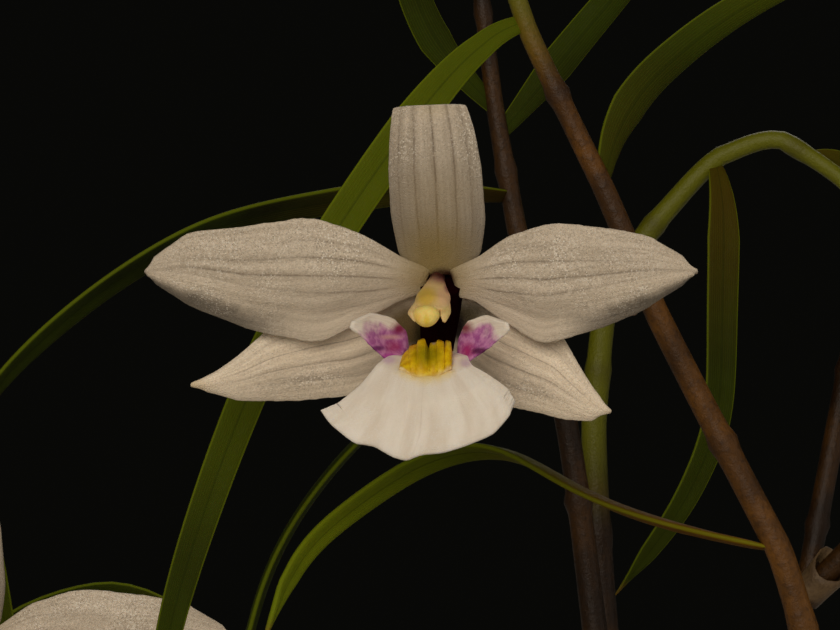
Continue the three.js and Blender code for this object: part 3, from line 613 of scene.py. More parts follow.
def blade(surface, along, across, thickness, veins=None, rim=0.35, finish=0, **marks):
    """A closed thin blade on a surface that takes u from 0 to 1 and v from -1 to 1. Each mark
    is a value that the points carry, worked out from u and v."""
    u = np.linspace(0, 1, along + 1)
    v = np.sin(np.linspace(-np.pi / 2, np.pi / 2, across + 1))
    grid_u, grid_v = (a.ravel() for a in np.meshgrid(u, v, indexing="ij"))
    step = 1e-3
    forward = (surface(np.minimum(grid_u + step, 1), grid_v)
               - surface(np.maximum(grid_u - step, 0), grid_v))
    sideways = (surface(grid_u, np.minimum(grid_v + step, 1))
                - surface(grid_u, np.maximum(grid_v - step, -1)))
    normal = unit(np.cross(forward, sideways))
    ends = np.sqrt(np.clip(np.minimum(grid_u, 1 - grid_u) * 25, 0, 1))
    taper = rim + (1 - rim) * np.sqrt(1 - grid_v**4) * ends
    offset = normal * (thickness / 2 * taper)[:, None]
    middle = surface(grid_u, grid_v)
    values = {"along": np.tile(grid_u, 2), "across": np.tile(grid_v, 2),
              "face_side": np.repeat([1.0, 0.0], len(middle))}
    if veins is not None:
        values["veins"] = np.tile(vein_values(surface, u, v, veins), (2, 1))
    for name, mark in marks.items():
        values[name] = np.tile(mark(grid_u, grid_v), 2)
    points = np.vstack([middle + offset, middle - offset])
    return Part(points, sheet_faces(along, across), finish, **values)


def sheet_faces(along, across):
    """Faces of a closed sheet: its front, its back and the rim between them."""
    count, row = (along + 1) * (across + 1), across + 1
    faces = []
    for i in range(along):
        for j in range(across):
            a, b = i * row + j, (i + 1) * row + j
            faces.append((a, b, b + 1, a + 1))
            faces.append((a + count, a + 1 + count, b + 1 + count, b + count))
    loop = ([i * row for i in range(along)] + [along * row + j for j in range(across)]
            + [i * row + across for i in range(along, 0, -1)] + list(range(across, 0, -1)))
    for a, b in zip(loop, loop[1:] + loop[:1]):
        faces.append((b, a, a + count, b + count))
    return faces


def vein_places(near, half, far, u):
    """Where the veins run across a blade at u, from their places in the veins' table."""
    t = np.clip((u - 0.12) / 0.76, 0, 1)
    return near * (1 - t) * (1 - 2 * t) + 4 * half * t * (1 - t) + far * t * (2 * t - 1)


def vein_values(surface, u, v, veins):
    """For each point: a count that passes a whole number at each vein, the gap between veins
    in millimetres, and how strongly the veins show there."""
    rows = []
    near, half, far, strength, reach = (np.array(column) for column in zip(*veins))
    for share in u:
        places = vein_places(near, half, far, share)
        marks = np.concatenate([[-1], places, [1]])
        numbers = np.concatenate([[0.5], np.arange(1, len(places) + 1), [len(places) + 0.5]])
        count = np.interp(v, marks, numbers)
        edges = surface(np.array([share, share]), np.array([-1.0, 1.0]))
        width = np.linalg.norm(edges[1] - edges[0])
        gap = np.interp(v, (marks[1:] + marks[:-1]) / 2, np.diff(marks) / np.diff(numbers))
        shown = strength * smooth(0.1, 0.24, share) * smooth(reach, reach - 0.4, share)
        shown = np.interp(v, places, shown)
        rows.append(np.stack([count, gap * width / 2, shown], 1))
    return np.vstack(rows)


def ring_quads(rings, sides):
    """Faces between each ring of points and the next one."""
    faces = []
    for i in range(rings - 1):
        for j in range(sides):
            k = (j + 1) % sides
            faces.append((i * sides + j, i * sides + k, (i + 1) * sides + k, (i + 1) * sides + j))
    return faces


def ring_faces(rings, sides):
    """Faces of a tube of rings, with its two ends closed."""
    faces = ring_quads(rings, sides)
    faces.append(tuple(range(sides - 1, -1, -1)))
    faces.append(tuple((rings - 1) * sides + j for j in range(sides)))
    return faces


def tube(path, radius_at, rings, sides, finish=0):
    """A round stem along a path, with the same side kept to the front all the way."""
    t = np.linspace(0, 1, rings)
    centres, headings = path.at(t), path.heading(t)
    side = unit(np.cross(headings[0], [0.3, -0.2, 1]))
    sides_at = []
    for heading in headings:
        side = unit(side - heading * np.dot(side, heading))
        sides_at.append(side)
    side = np.array(sides_at)
    other = np.cross(headings, side)
    angle = np.linspace(0, 2 * np.pi, sides, endpoint=False)
    spread = (side[:, None] * np.cos(angle)[None, :, None]
              + other[:, None] * np.sin(angle)[None, :, None])
    points = centres[:, None] + spread * radius_at(t)[:, None, None]
    return Part(points.reshape(-1, 3), ring_faces(rings, sides), finish,
                along=np.repeat(t, sides), across=np.tile(angle / np.pi - 1, rings))


def loft(ring_at, rings, sides, finish=0):
    """A closed body whose section at t from 0 to 1 is a closed ring of points."""
    t = np.linspace(0, 1, rings)
    angle = np.linspace(0, 2 * np.pi, sides, endpoint=False)
    points = np.vstack([ring_at(share, angle) for share in t])
    return Part(points, ring_faces(rings, sides), finish,
                along=np.repeat(t, sides), across=np.tile(angle / np.pi - 1, rings))


def lathe(profile, sides):
    """A turned body from a profile that starts and ends on the axis, drawn anticlockwise."""
    profile = np.array(profile, float)
    angle = np.linspace(0, 2 * np.pi, sides, endpoint=False)
    inner = profile[1:-1]
    points = [np.stack([r * np.cos(angle), r * np.sin(angle), np.full(sides, z)], 1)
              for r, z in inner]
    points = np.vstack(points + [np.array([[0, 0, profile[0][1]], [0, 0, profile[-1][1]]])])
    low, high = len(points) - 2, len(points) - 1
    faces = ring_quads(len(inner), sides)
    last = (len(inner) - 1) * sides
    for j in range(sides):
        k = (j + 1) % sides
        faces.append((low, k, j))
        faces.append((high, last + j, last + k))
    return Part(points, faces)


# Flower parts

def between(edges, hem=None, relief=None, wave=0.0, seed=1, waves=6, pinch=0.0):
    """The surface between two edges, with a relief towards the viewer, a wavy margin and a
    tip that may be pinched to a point or end in a drawn hem."""
    first, second = Path(edges[0]), Path(edges[1])

    def surface(u, v):
        upper, lower = first.at(u), second.at(u)
        edge = v * (1 + wave * np.abs(v)**3 * ripple(u, seed, waves) * smooth(0.1, 0.4, u))
        edge = edge * (1 - pinch * smooth(0.86, 1, u))
        share = (1 - edge) / 2
        point = upper + (lower - upper) * share[:, None]
        if hem is not None:
            chord = lerp(first.at(1), second.at(1), share[:, None])
            point = point + (Path(hem).at(np.clip(share, 0, 1)) - chord) * (u**2)[:, None]
        if relief is not None:
            point[:, 1] -= relief(u, v)
        return point

    return surface


def crest(u, v, height, veins, groove=0.025):
    """A blade that is crowned across, with a shallow groove at each vein."""
    near, half, far, strength, _ = (np.array(column) for column in zip(*veins))
    places = vein_places(near, half, far, u[:, None])
    grooves = (strength * np.exp(-(((v[:, None] - places) / 0.07) ** 2))).sum(1)
    shown = smooth(0.08, 0.2, u) * smooth(0.8, 0.4, u)
    return height * (1 - v**2) * np.sin(np.pi * u)**0.8 - groove * grooves * shown


def petal_relief(u, v):
    swell = 0.05 * np.sin(5 * u + 3 * v) * smooth(0, 0.3, u)
    fold = 0.25 * np.exp(-(((v + 0.62) / 0.25) ** 2)) * smooth(0.15, 0.35, u) * smooth(0.75, 0.5, u)
    turned_back = 0.5 * smooth(-0.45, -1, v) * smooth(0.45, 0.7, u) * smooth(1, 0.9, u)
    return crest(u, v, 0.38, PETAL_VEINS) + swell - fold - turned_back


def sepal_relief(u, v):
    return crest(u, v, 0.45, SEPAL_VEINS, 0.07) + 0.05 * np.sin(6 * u + 2 * v)


def dorsal_relief(u, v):
    return crest(u, v, 0.3, DORSAL_VEINS, 0.03) * smooth(0.8, 0.6, u)


def lip_relief(u, v):
    spread = smooth(0.45, 0.7, u)
    ruffle = 0.05 * smooth(0.72, 1, np.abs(v)) * ripple(u, 12, 3) * spread
    folds = (0.05 * np.sin(9 * v + 2 * u) + 0.025 * np.sin(17 * v + 1)) * spread
    median = -0.03 * np.exp(-((v / 0.05) ** 2)) * spread
    return ruffle + folds + median + 0.3 * (1 - v**2) * spread


def shaded_margin(u, v):
    """The outer lower margin of a petal, which curls back, with a wavy border: where its painted
    shade lies.
    """
    wavy = 0.1 * ripple(u + 0.12 * v, 17, 6)
    return smooth(-0.42, -0.8, v + wavy) * smooth(0.46, 0.58, u) * smooth(1, 0.88, u)


def petal_painted_light(u, v):
    """How light a petal is, as painted light and shade: grey along its shaded margin, lighter above
    it and on its bulge.
    """
    band = np.exp(-(((v + 0.28) / 0.16) ** 2)) * smooth(0.45, 0.65, u) * smooth(1, 0.85, u)
    bulge = smooth(-0.45, -0.8, v) * smooth(0.15, 0.28, u) * smooth(0.5, 0.38, u)
    return 1 - 0.62 * shaded_margin(u, v) + 0.12 * band + 0.06 * bulge


def petal_sparkle(u, v):
    """How strongly the grain's painted glints and dark specks show: most on the inner upper half
    and by the shaded margin.
    """
    inner = smooth(0.12, 0.3, u) * smooth(0.85, 0.5, u) * smooth(-0.4, 0.4, v)
    border = np.exp(-(((v + 0.5) / 0.22) ** 2)) * smooth(0.42, 0.55, u)
    bulge = smooth(-0.45, -0.8, v) * smooth(0.5, 0.38, u)
    shown = 0.4 + 0.6 * np.maximum(inner, border)
    return shown * smooth(0.12, 0.28, u) * (1 - bulge) * smooth(1, 0.9, u)


def dorsal_painted_light(u, v):
    """Painted light and shade on the dorsal sepal: darker towards its base and at its sides, with a
    painted highlight along its fold.
    """
    fold = np.exp(-(((u - 0.71) / 0.02) ** 2))
    return lerp(0.5, 1.03, smooth(0.2, 0.68, u)) * (1 - 0.16 * v**2) + 0.3 * fold


def dorsal_sparkle(u, v):
    return smooth(0.3, 0.56, u) * (0.35 + 0.65 * smooth(0.25, 0.8, abs(v)))


def sepal_painted_light(u, v):
    """Painted light on the lateral sepals: brightened all over, with a painted light band and a
    grey band of painted shade along them.
    """
    light = 0.12 * np.exp(-(((v - 0.25) / 0.22) ** 2))
    grey = 0.3 * np.exp(-(((v + 0.45) / 0.22) ** 2)) * smooth(0.8, 0.5, u)
    return 1.4 + light - grey


def sepal_sparkle(u, v):
    grey = np.exp(-(((v + 0.5) / 0.25) ** 2)) * smooth(0.75, 0.5, u)
    return (0.35 + 0.65 * grey) * smooth(0.25, 0.4, u) * smooth(0.95, 0.7, u)


def flower_blades(fine):
    along, across = int(110 * fine), int(36 * fine)
    petal = {"tone": petal_painted_light, "sparkle": petal_sparkle}
    dorsal = {"tone": dorsal_painted_light, "sparkle": dorsal_sparkle}
    sepal = {"tone": sepal_painted_light, "sparkle": sepal_sparkle}
    make = [
        (PETAL_LEFT, petal_relief, PETAL_VEINS, 0.014, 3, 0.7, petal),
        (PETAL_RIGHT, petal_relief, PETAL_VEINS, 0.014, 8, 0.7, petal),
        (DORSAL_SEPAL, dorsal_relief, DORSAL_VEINS, 0.008, 5, 0.0, dorsal),
        (SEPAL_LEFT, sepal_relief, SEPAL_VEINS, 0.016, 6, 0.75, sepal),
        (SEPAL_RIGHT, sepal_relief, SEPAL_VEINS, 0.016, 7, 0.6, sepal),
    ]
    return [blade(between(edges, relief=relief, wave=wave, seed=seed, pinch=pinch), along, across,
                  PETAL_THICKNESS, veins, **marks)
            for edges, relief, veins, wave, seed, pinch, marks in make]


def column_body(fine):
    """The hooded column: narrow at its root, broad and rounded above, thinner at its end."""
    path = Path(COLUMN)

    def ring_at(t, angle):
        centre, heading = path.at(t)[0], path.heading(t)[0]
        up = unit(np.cross(heading, [1.0, 0, 0]))
        width = 0.34 + 0.42 * smooth(0.05, 0.7, t) - 0.12 * smooth(0.9, 1, t)
        height = 0.36 + 0.06 * smooth(0, 0.6, t) - 0.26 * smooth(0.82, 1, t)
        x = np.sign(np.cos(angle)) * abs(np.cos(angle))**0.8 * width
        z = np.where(np.sin(angle) > 0, height, height * 0.5) * np.sin(angle)
        keel = 0.05 * np.exp(-(((np.cos(angle) + 0.1) / 0.25) ** 2)) * (np.sin(angle) > 0)
        return centre + np.stack([x, 0 * x, 0 * x], 1) + up * (z + keel)[:, None]

    return loft(ring_at, int(40 * fine), int(48 * fine))


def column_wing(inner, outer, fine):
    """A thin flap beside the anther cap, between its inner and its outer edge."""

    def bulge(u, v):
        return 0.12 * (1 - v**2) * np.sin(np.pi * u)

    surface = between((inner, outer), relief=bulge)
    return blade(surface, int(26 * fine), int(12 * fine), 0.14, rim=0.5)


def anther_cap(fine):
    """A rounded cap, flat on top and narrower below, with a shallow notch down its middle."""

    def ring_at(t, angle):
        radius = CAP_RADIUS * 0.97 * np.sin(np.pi * np.clip(t, 0.004, 0.996)) ** 0.75
        depth = CAP_RADIUS * 0.75 * np.cos(np.pi * t)
        x, z = np.cos(angle) * radius, np.sin(angle) * radius
        z = np.where(z > 0, z * 0.72, z * 0.9)
        x = x * (1 - 0.12 * smooth(0, -CAP_RADIUS, z))
        notch = 0.04 * np.exp(-((x / 0.09) ** 2)) * smooth(0.5, 0.8, t)
        return CAP_CENTRE + np.stack([x, depth + notch, z], 1)

    return loft(ring_at, int(30 * fine), int(36 * fine), finish=2)


def column_parts(fine):
    foot = tube(Path(COLUMN_FOOT), lambda t: 0.98 - 0.06 * t, int(20 * fine), int(32 * fine), 1)
    left = column_wing([[-0.7, -1.4, -0.95], [-0.92, -2.2, -1.45], [-1.08, -2.75, -1.8],
                        [-1.0, -2.9, -2.12]],
                       [[-0.8, -1.5, -0.98], [-1.1, -2.2, -1.38], [-1.37, -2.75, -1.82],
                        [-1.1, -2.9, -2.17]], fine)
    right = column_wing([[0, -1.6, -1.1], [0.02, -2.2, -1.5], [0.02, -2.8, -1.9],
                         [0.1, -2.9, -2.15]],
                        [[0.34, -1.4, -1.1], [0.42, -2, -1.45], [0.42, -2.6, -1.8],
                         [0.2, -2.85, -2.2]], fine)
    return [column_body(fine), foot, left, right, anther_cap(fine)]


def stalk_part(stalk, fine):
    """Ovary and pedicel, from behind the base of the flower to the cane."""

    def radius(t):
        taper = lerp(OVARY_RADIUS, PEDICEL_RADIUS, smooth(0, 0.42, t))
        return taper * (0.25 + 0.75 * smooth(0.02, 0.16, t)) * (1 + 0.04 * np.sin(3 + 9 * t))

    return tube(stalk, radius, int(60 * fine), int(18 * fine))


# Teeth along the back of the callus: the place of each across it, its tip and its half width
TEETH = [(-1.16, -3.1, 0.13), (-0.8, -2.86, 0.26), (-0.27, -2.98, 0.17), (0.0, -2.9, 0.18),
         (0.34, -2.93, 0.13)]
CALLUS_SIDES = (-1.75, 0.48)


def callus_height(x):
    """The callus's back edge: a low bar with its teeth."""
    height = np.full_like(x, -3.45)
    for place, tip, half in TEETH:
        height = np.maximum(height, lerp(tip, -3.5, np.clip(abs(x - place) / half, 0, 1)**0.85))
    return lerp(height, -3.85, smooth(-1.3, -1.75, x))


def callus_part(fine):
    """The fleshy callus: a ribbed tongue that slopes from its teeth down to the blade."""

    def surface(u, v):
        x = lerp(CALLUS_SIDES[0], CALLUS_SIDES[1], (v + 1) / 2)
        low = -4.15 - 0.5 * (1 - v**2)
        z = lerp(callus_height(x), low, u)
        ribs = 0.025 * np.cos(2 * np.pi * (x + 0.8) / 0.4) * smooth(0.8, 0.2, u)
        swell = 0.34 * np.sin(np.pi * np.clip(u, 0, 1)) * (1 - v**4)
        y = lerp(-1.6, -3.05, u**0.8) - ribs - swell
        return np.stack([x, y, z], 1)

    return blade(surface, int(40 * fine), int(110 * fine), 0.3, rim=0.3, finish=2)


def lobe_relief(u, v):
    return -0.35 * np.sin(np.pi * u) * (1 - v**2)


def lip_parts(fine):
    middle = blade(between(LIP_BLADE, LIP_HEM, lip_relief),
                   int(110 * fine), int(56 * fine), LIP_THICKNESS, LIP_VEINS)
    lobes = [blade(between(edges, relief=lobe_relief, wave=0.03, seed=seed, waves=3),
                   int(40 * fine), int(24 * fine), LOBE_THICKNESS, finish=1)
             for edges, seed in [(SIDE_LOBE_LEFT, 41), (SIDE_LOBE_RIGHT, 42)]]
    return [middle, callus_part(fine), *lobes]


# Shader building: small helpers that add a node and pass on its output

def feed(tree, socket, source):
    if isinstance(source, bpy.types.NodeSocket):
        tree.links.new(source, socket)
    elif source is not None:
        socket.default_value = source


def add_node(tree, kind, links=None, **settings):
    """Adds a node, with its inputs fed by name."""
    made = tree.nodes.new(kind)
    for key, value in settings.items():
        setattr(made, key, value)
    for key, source in (links or {}).items():
        feed(tree, made.inputs[key], source)
    return made


def node(tree, kind, *sources, out=0, **settings):
    made = tree.nodes.new(kind)
    for name, value in settings.items():
        setattr(made, name, value)
    for socket, source in zip(made.inputs, sources):
        feed(tree, socket, source)
    return made.outputs[out]


def maths(tree, operation, *sources):
    return node(tree, "ShaderNodeMath", *sources, operation=operation)


def times(tree, first, second):
    return maths(tree, "MULTIPLY", first, second)


def plus(tree, first, second):
    return maths(tree, "ADD", first, second)


def minus(tree, first, second):
    return maths(tree, "SUBTRACT", first, second)


def vector_maths(tree, operation, *sources, out=0):
    return node(tree, "ShaderNodeVectorMath", *sources, operation=operation, out=out)


def fade(tree, value, low, high, start=0.0, end=1.0):
    """A smooth step of a value, from start at low to end at high."""
    return node(tree, "ShaderNodeMapRange", value, low, high, start, end,
                interpolation_type="SMOOTHSTEP")


def blend(tree, amount, first, second, mode="MIX"):
    return add_node(tree, "ShaderNodeMix", {0: amount, 6: first, 7: second},
                    data_type="RGBA", blend_type=mode).outputs[2]


def overlay(tree, base, mask, strength, tint):
    """Lays a colour over a base where a mask shows, at the given strength."""
    return blend(tree, times(tree, mask, strength), base, colour(tint))


def noise(tree, place, scale, detail=3.0, roughness=0.55):
    sockets = {"Vector": place, "Scale": scale, "Detail": detail, "Roughness": roughness}
    return add_node(tree, "ShaderNodeTexNoise", sockets).outputs[0]


def cells(tree, place, scale, out="Distance"):
    return add_node(tree, "ShaderNodeTexVoronoi", {"Vector": place, "Scale": scale}).outputs[out]


def attribute(tree, name, out="Fac"):
    return add_node(tree, "ShaderNodeAttribute", attribute_name=name).outputs[out]


def lengthwise(tree, along, across):
    """Coordinates of a blade, stretched so that a noise read at them makes streaks along it."""
    places = [times(tree, attribute(tree, name), scale)
              for name, scale in (("along", along), ("across", across))]
    other = times(tree, attribute(tree, "flower_place"), 0.4)
    return node(tree, "ShaderNodeCombineXYZ", *places, other)


def object_place(tree):
    return tree.nodes.new("ShaderNodeTexCoord").outputs["Object"]


def apart(tree, vector):
    return add_node(tree, "ShaderNodeSeparateXYZ", {0: vector}).outputs


def colour(text):
    """A screen colour such as #b4663f as linear numbers."""
    parts = [int(text[i:i + 2], 16) / 255 for i in (1, 3, 5)]
    return (*[p / 12.92 if p < 0.04045 else ((p + 0.055) / 1.055) ** 2.4 for p in parts], 1)


def new_finish(name, roughness, **settings):
    """A material and its shader, with the values that are the same all over."""
    finish = bpy.data.materials.new(name)
    finish.use_nodes = True
    shader = finish.node_tree.nodes["Principled BSDF"]
    shader.inputs["Roughness"].default_value = roughness
    for key, value in settings.items():
        shader.inputs[key.replace("_", " ").title().replace("Ior", "IOR")].default_value = value
    return finish, finish.node_tree, shader


def relief_of(tree, height, depth):
    sockets = {"Strength": 1.0, "Distance": depth, "Height": height}
    return add_node(tree, "ShaderNodeBump", sockets).outputs[0]


def cover(tree, shader, base, height=None, depth=0.0):
    """Gives a shader its colour and, where there is one, its relief."""
    feed(tree, shader.inputs["Base Color"], base)
    if height is not None:
        feed(tree, shader.inputs["Normal"], relief_of(tree, height, depth))


def new_group(name, inputs, outputs, tree_kind="ShaderNodeTree"):
    """A group with named sockets: its tree, what comes in and what goes out."""
    tree = bpy.data.node_groups.new(name, tree_kind)
    for socket_name, kind, default in inputs:
        made = tree.interface.new_socket(socket_name, in_out="INPUT", socket_type=kind)
        if default is not None:
            made.default_value = default
    for socket_name, kind in outputs:
        tree.interface.new_socket(socket_name, in_out="OUTPUT", socket_type=kind)
    return tree, tree.nodes.new("NodeGroupInput").outputs, tree.nodes.new("NodeGroupOutput").inputs


def use(tree, group, **values):
    """Places a group in a material, with its own values, and gives its outputs."""
    sockets = {key.replace("_", " ").capitalize(): value for key, value in values.items()}
    return add_node(tree, "ShaderNodeGroup", sockets, node_tree=group).outputs


FLOAT, VECTOR = "NodeSocketFloat", "NodeSocketVector"


def vein_group():
    """Thin lines along a blade, from the values that its points carry."""
    tree, given, result = new_group(
        "vein_lines",
        [("Veins", VECTOR, None), ("Place", VECTOR, None), ("Width", FLOAT, 0.05),
         ("Wander", FLOAT, 0.1)],
        [("Line", FLOAT), ("Halo", FLOAT)])
    count, gap, strength = apart(tree, given["Veins"])
    drift = minus(tree, noise(tree, given["Place"], 900.0, 2.0), 0.5)
    count = plus(tree, count, times(tree, drift, given["Wander"]))
    offset = maths(tree, "ABSOLUTE", minus(tree, count, maths(tree, "ROUND", count)))
    distance = times(tree, offset, gap)
    broken = fade(tree, noise(tree, given["Place"], 1800.0, 2.0), 0.3, 0.55, 0.5, 1.0)
    line = fade(tree, distance, given["Width"], 0.0)
    halo = fade(tree, distance, times(tree, given["Width"], 3.5), 0.0)
    shown = times(tree, strength, broken)
    feed(tree, result["Line"], times(tree, line, shown))
    feed(tree, result["Halo"], times(tree, halo, strength))
    return tree


def papillae_group():
    """The grain of tiny raised cells on a bloom, with a painted glint on some cells and painted
    shade on others that stay dark.
    """
    tree, given, result = new_group(
        "papillae", [("Place", VECTOR, None), ("Cell size", FLOAT, 8e-5)],
        [("Height", FLOAT), ("Grain", FLOAT), ("Sparkle", FLOAT), ("Specks", FLOAT)])
    scale = maths(tree, "DIVIDE", 1.0, given["Cell size"])
    distance = cells(tree, given["Place"], scale)
    tone = node(tree, "ShaderNodeSeparateColor", cells(tree, given["Place"], scale, "Color"))
    patch = noise(tree, given["Place"], 3500.0, 4.0)
    feed(tree, result["Height"], fade(tree, distance, 0.65, 0.0))
    feed(tree, result["Grain"], plus(tree, times(tree, tone, 0.5), times(tree, patch, 0.5)))
    zone = fade(tree, noise(tree, given["Place"], 520.0, 3.0), 0.36, 0.6)
    bright = times(tree, fade(tree, tone, 0.62, 0.85), zone)
    dark = times(tree, fade(tree, tone, 0.24, 0.08), zone)
    core = fade(tree, distance, 0.72, 0.25)
    feed(tree, result["Sparkle"], times(tree, bright, core))
    feed(tree, result["Specks"], times(tree, dark, core))
    return tree


def spot_group():
    """A soft oval patch at a place in the flower, all in millimetres."""
    tree, given, result = new_group(
        "soft_spot",
        [("Place", VECTOR, None), ("Centre", VECTOR, (0.0, 0.0, 0.0)),
         ("Size", VECTOR, (1.0, 1.0, 1.0)), ("Edge", FLOAT, 0.4), ("Ragged", FLOAT, 0.25)],
        [("Mask", FLOAT)])
    offset = vector_maths(tree, "DIVIDE", vector_maths(tree, "SUBTRACT", given["Place"],
                                                       given["Centre"]), given["Size"])
    distance = vector_maths(tree, "LENGTH", offset, out="Value")
    rough = minus(tree, noise(tree, given["Place"], 4.0, 3.0), 0.5)
    distance = plus(tree, distance, times(tree, rough, given["Ragged"]))
    mask = fade(tree, distance, 1.0, minus(tree, 1.0, given["Edge"]))
    feed(tree, result["Mask"], mask)
    return tree


def mottle_group():
    """Broad patches and fine grain, for bark, clay, stems and leaves."""
    tree, given, result = new_group(
        "mottle",
        [("Place", VECTOR, None), ("Patch size", FLOAT, 0.01), ("Grain size", FLOAT, 5e-4)],
        [("Patches", FLOAT), ("Grain", FLOAT)])
    broad = noise(tree, given["Place"], maths(tree, "DIVIDE", 1.0, given["Patch size"]), 5.0, 0.6)
    fine = noise(tree, given["Place"], maths(tree, "DIVIDE", 1.0, given["Grain size"]), 4.0, 0.65)
    feed(tree, result["Patches"], fade(tree, broad, 0.35, 0.65))
    feed(tree, result["Grain"], fine)
    return tree


VEINS = vein_group()
PAPILLAE = papillae_group()
SPOT = spot_group()
MOTTLE = mottle_group()

# How far light of each colour goes into petals and lip
FLESH_RADIUS = (1.0, 0.75, 0.5)

# Soft spots of colour on each part of the flower: centre and size in millimetres, how soft and
# how ragged the edge is, the strength and the colour. Those marked below are painted shade and
# painted highlights
PETAL_MARKS = [
    ((-0.2, 0.4, -0.5), (2.7, 4.0, 1.5), 0.9, 0.1, 0.75, "#97804f"),
    ((-0.2, 0.4, 0.9), (2.6, 3.0, 2.4), 0.95, 0.1, 0.8, "#8a7434"),
    # Painted shade, with an olive tint on the sepals: on the lateral sepals' bases under the
    # petals, in the throat, in the gap beside the column's root, in the hollow below the column and
    # round the column's root
    ((-1.4, 1.9, -2.2), (2.3, 1.6, 1.6), 0.55, 0.1, 0.95, "#5c4714"),
    ((1.5, 1.9, -1.8), (2.0, 1.7, 1.3), 0.55, 0.1, 0.97, "#352b06"),
    ((0.85, 2.0, -2.4), (0.45, 1.6, 1.0), 0.6, 0.1, 0.97, "#140608"),
    ((0.35, 0.7, -0.2), (0.35, 0.7, 0.4), 0.6, 0.1, 0.95, "#1c0708"),
    ((-0.6, 2.2, -2.7), (0.8, 2.0, 1.6), 0.6, 0.1, 0.8, "#2a2409"),
    ((0.1, 0.5, -0.35), (0.78, 0.9, 0.72), 0.5, 0.1, 0.85, "#3b1d0c"),
    ((-0.2, -0.3, 3.2), (2.6, 2.0, 2.6), 0.95, 0.1, 0.3, "#a08a58"),
    # Painted highlight, cream-tinted, at the top of the dorsal sepal by its fold
    ((-0.3, -0.3, 6.9), (1.2, 1.0, 0.9), 0.9, 0.2, 0.4, "#e3cfa0"),
    ((-11.2, 0.7, -4.95), (1.6, 2.0, 0.8), 0.9, 0.1, 0.5, "#d8bd84"),
    ((7.9, 0.7, -6.2), (0.9, 2.0, 0.5), 0.9, 0.1, 0.6, "#94794a"),
]
LIP_MARKS = [
    ((-0.62, -3.2, -4.1), (1.5, 1.8, 0.95), 0.6, 0.4, 0.85, "#f4cf3c"),
    # Painted highlight on the upper front of the lip
    ((-0.7, -3.4, -5.3), (2.6, 2.0, 1.2), 0.9, 0.2, 0.6, "#fff3e2"),
    ((1.1, -2.6, -3.95), (0.4, 1.6, 0.3), 0.9, 0.3, 0.6, "#d7b0cf"),
    ((-2.2, -2.6, -3.8), (0.45, 1.6, 0.3), 0.9, 0.3, 0.6, "#cfa6cb"),
]
CALLUS_MARKS = [
    ((-0.55, -2.1, -3.6), (0.95, 2.6, 0.85), 0.8, 0.3, 0.9, "#8f8400"),
    ((-1.2, -1.7, -3.25), (0.28, 1.2, 0.28), 0.8, 0.2, 0.5, "#c4782c"),
    ((-0.28, -1.7, -3.0), (0.14, 0.8, 0.22), 0.6, 0.1, 0.7, "#b3a49c"),
    ((0.22, -1.7, -3.15), (0.1, 0.8, 0.28), 0.6, 0.1, 0.7, "#8a5a34"),
    ((0.36, -1.7, -3.05), (0.12, 0.8, 0.25), 0.5, 0.1, 0.7, "#d8bb34"),
]
LOBE_MARKS = [
    ((-2.1, -1.6, -2.82), (0.9, 1.6, 0.17), 0.9, 0.3, 0.7, "#dfb0a6"),
    ((-1.72, -1.3, -2.45), (0.58, 1.4, 0.46), 0.95, 0.4, 0.95, "#86103f"),
    ((-1.93, -2.0, -3.2), (0.62, 1.4, 0.46), 0.95, 0.4, 0.95, "#a01058"),
    ((-2.75, -2.3, -3.3), (0.6, 1.4, 0.16), 0.7, 0.3, 0.85, "#6a1560"),
    ((-2.2, -2.1, -3.62), (0.5, 1.4, 0.16), 0.8, 0.3, 0.8, "#b944a4"),
    ((1.1, -1.3, -2.42), (0.55, 1.4, 0.48), 0.95, 0.4, 0.95, "#7f0a38"),
    ((1.08, -2.0, -3.36), (0.58, 1.4, 0.55), 0.9, 0.4, 0.95, "#ab0a66"),
    ((1.75, -2.2, -3.42), (0.62, 1.2, 0.22), 0.7, 0.3, 0.9, "#560c48"),
]
COLUMN_MARKS = [
    ((0.2, -1.5, -1.1), (0.5, 2.2, 0.75), 0.7, 0.2, 0.7, "#ecbb92"),
    ((-0.6, -1.7, -1.12), (0.64, 2.6, 0.66), 0.65, 0.15, 0.9, "#dcb745"),
    ((0.3, -2.3, -1.85), (0.35, 1.2, 0.5), 0.8, 0.2, 0.6, "#dcc46c"),
    # Maroon-pink on the column's right side, darkened in part as painted shade
    ((0.32, -0.8, -0.75), (0.26, 1.2, 0.4), 0.8, 0.2, 0.8, "#94545c"),
    ((-0.05, 0.1, -0.36), (0.8, 1.6, 0.5), 0.8, 0.2, 0.85, "#8f5458"),
    ((0.02, 0.5, -0.02), (1.5, 1.5, 0.6), 0.7, 0.15, 0.97, "#3c0c10"),
]
CAP_MARKS = [
    ((-0.58, -3.2, -2.15), (0.2, 0.8, 0.45), 0.9, 0.1, 0.75, "#f3d138"),
    ((-0.98, -3.2, -2.0), (0.25, 0.8, 0.4), 0.9, 0.1, 0.5, "#ffc250"),
]


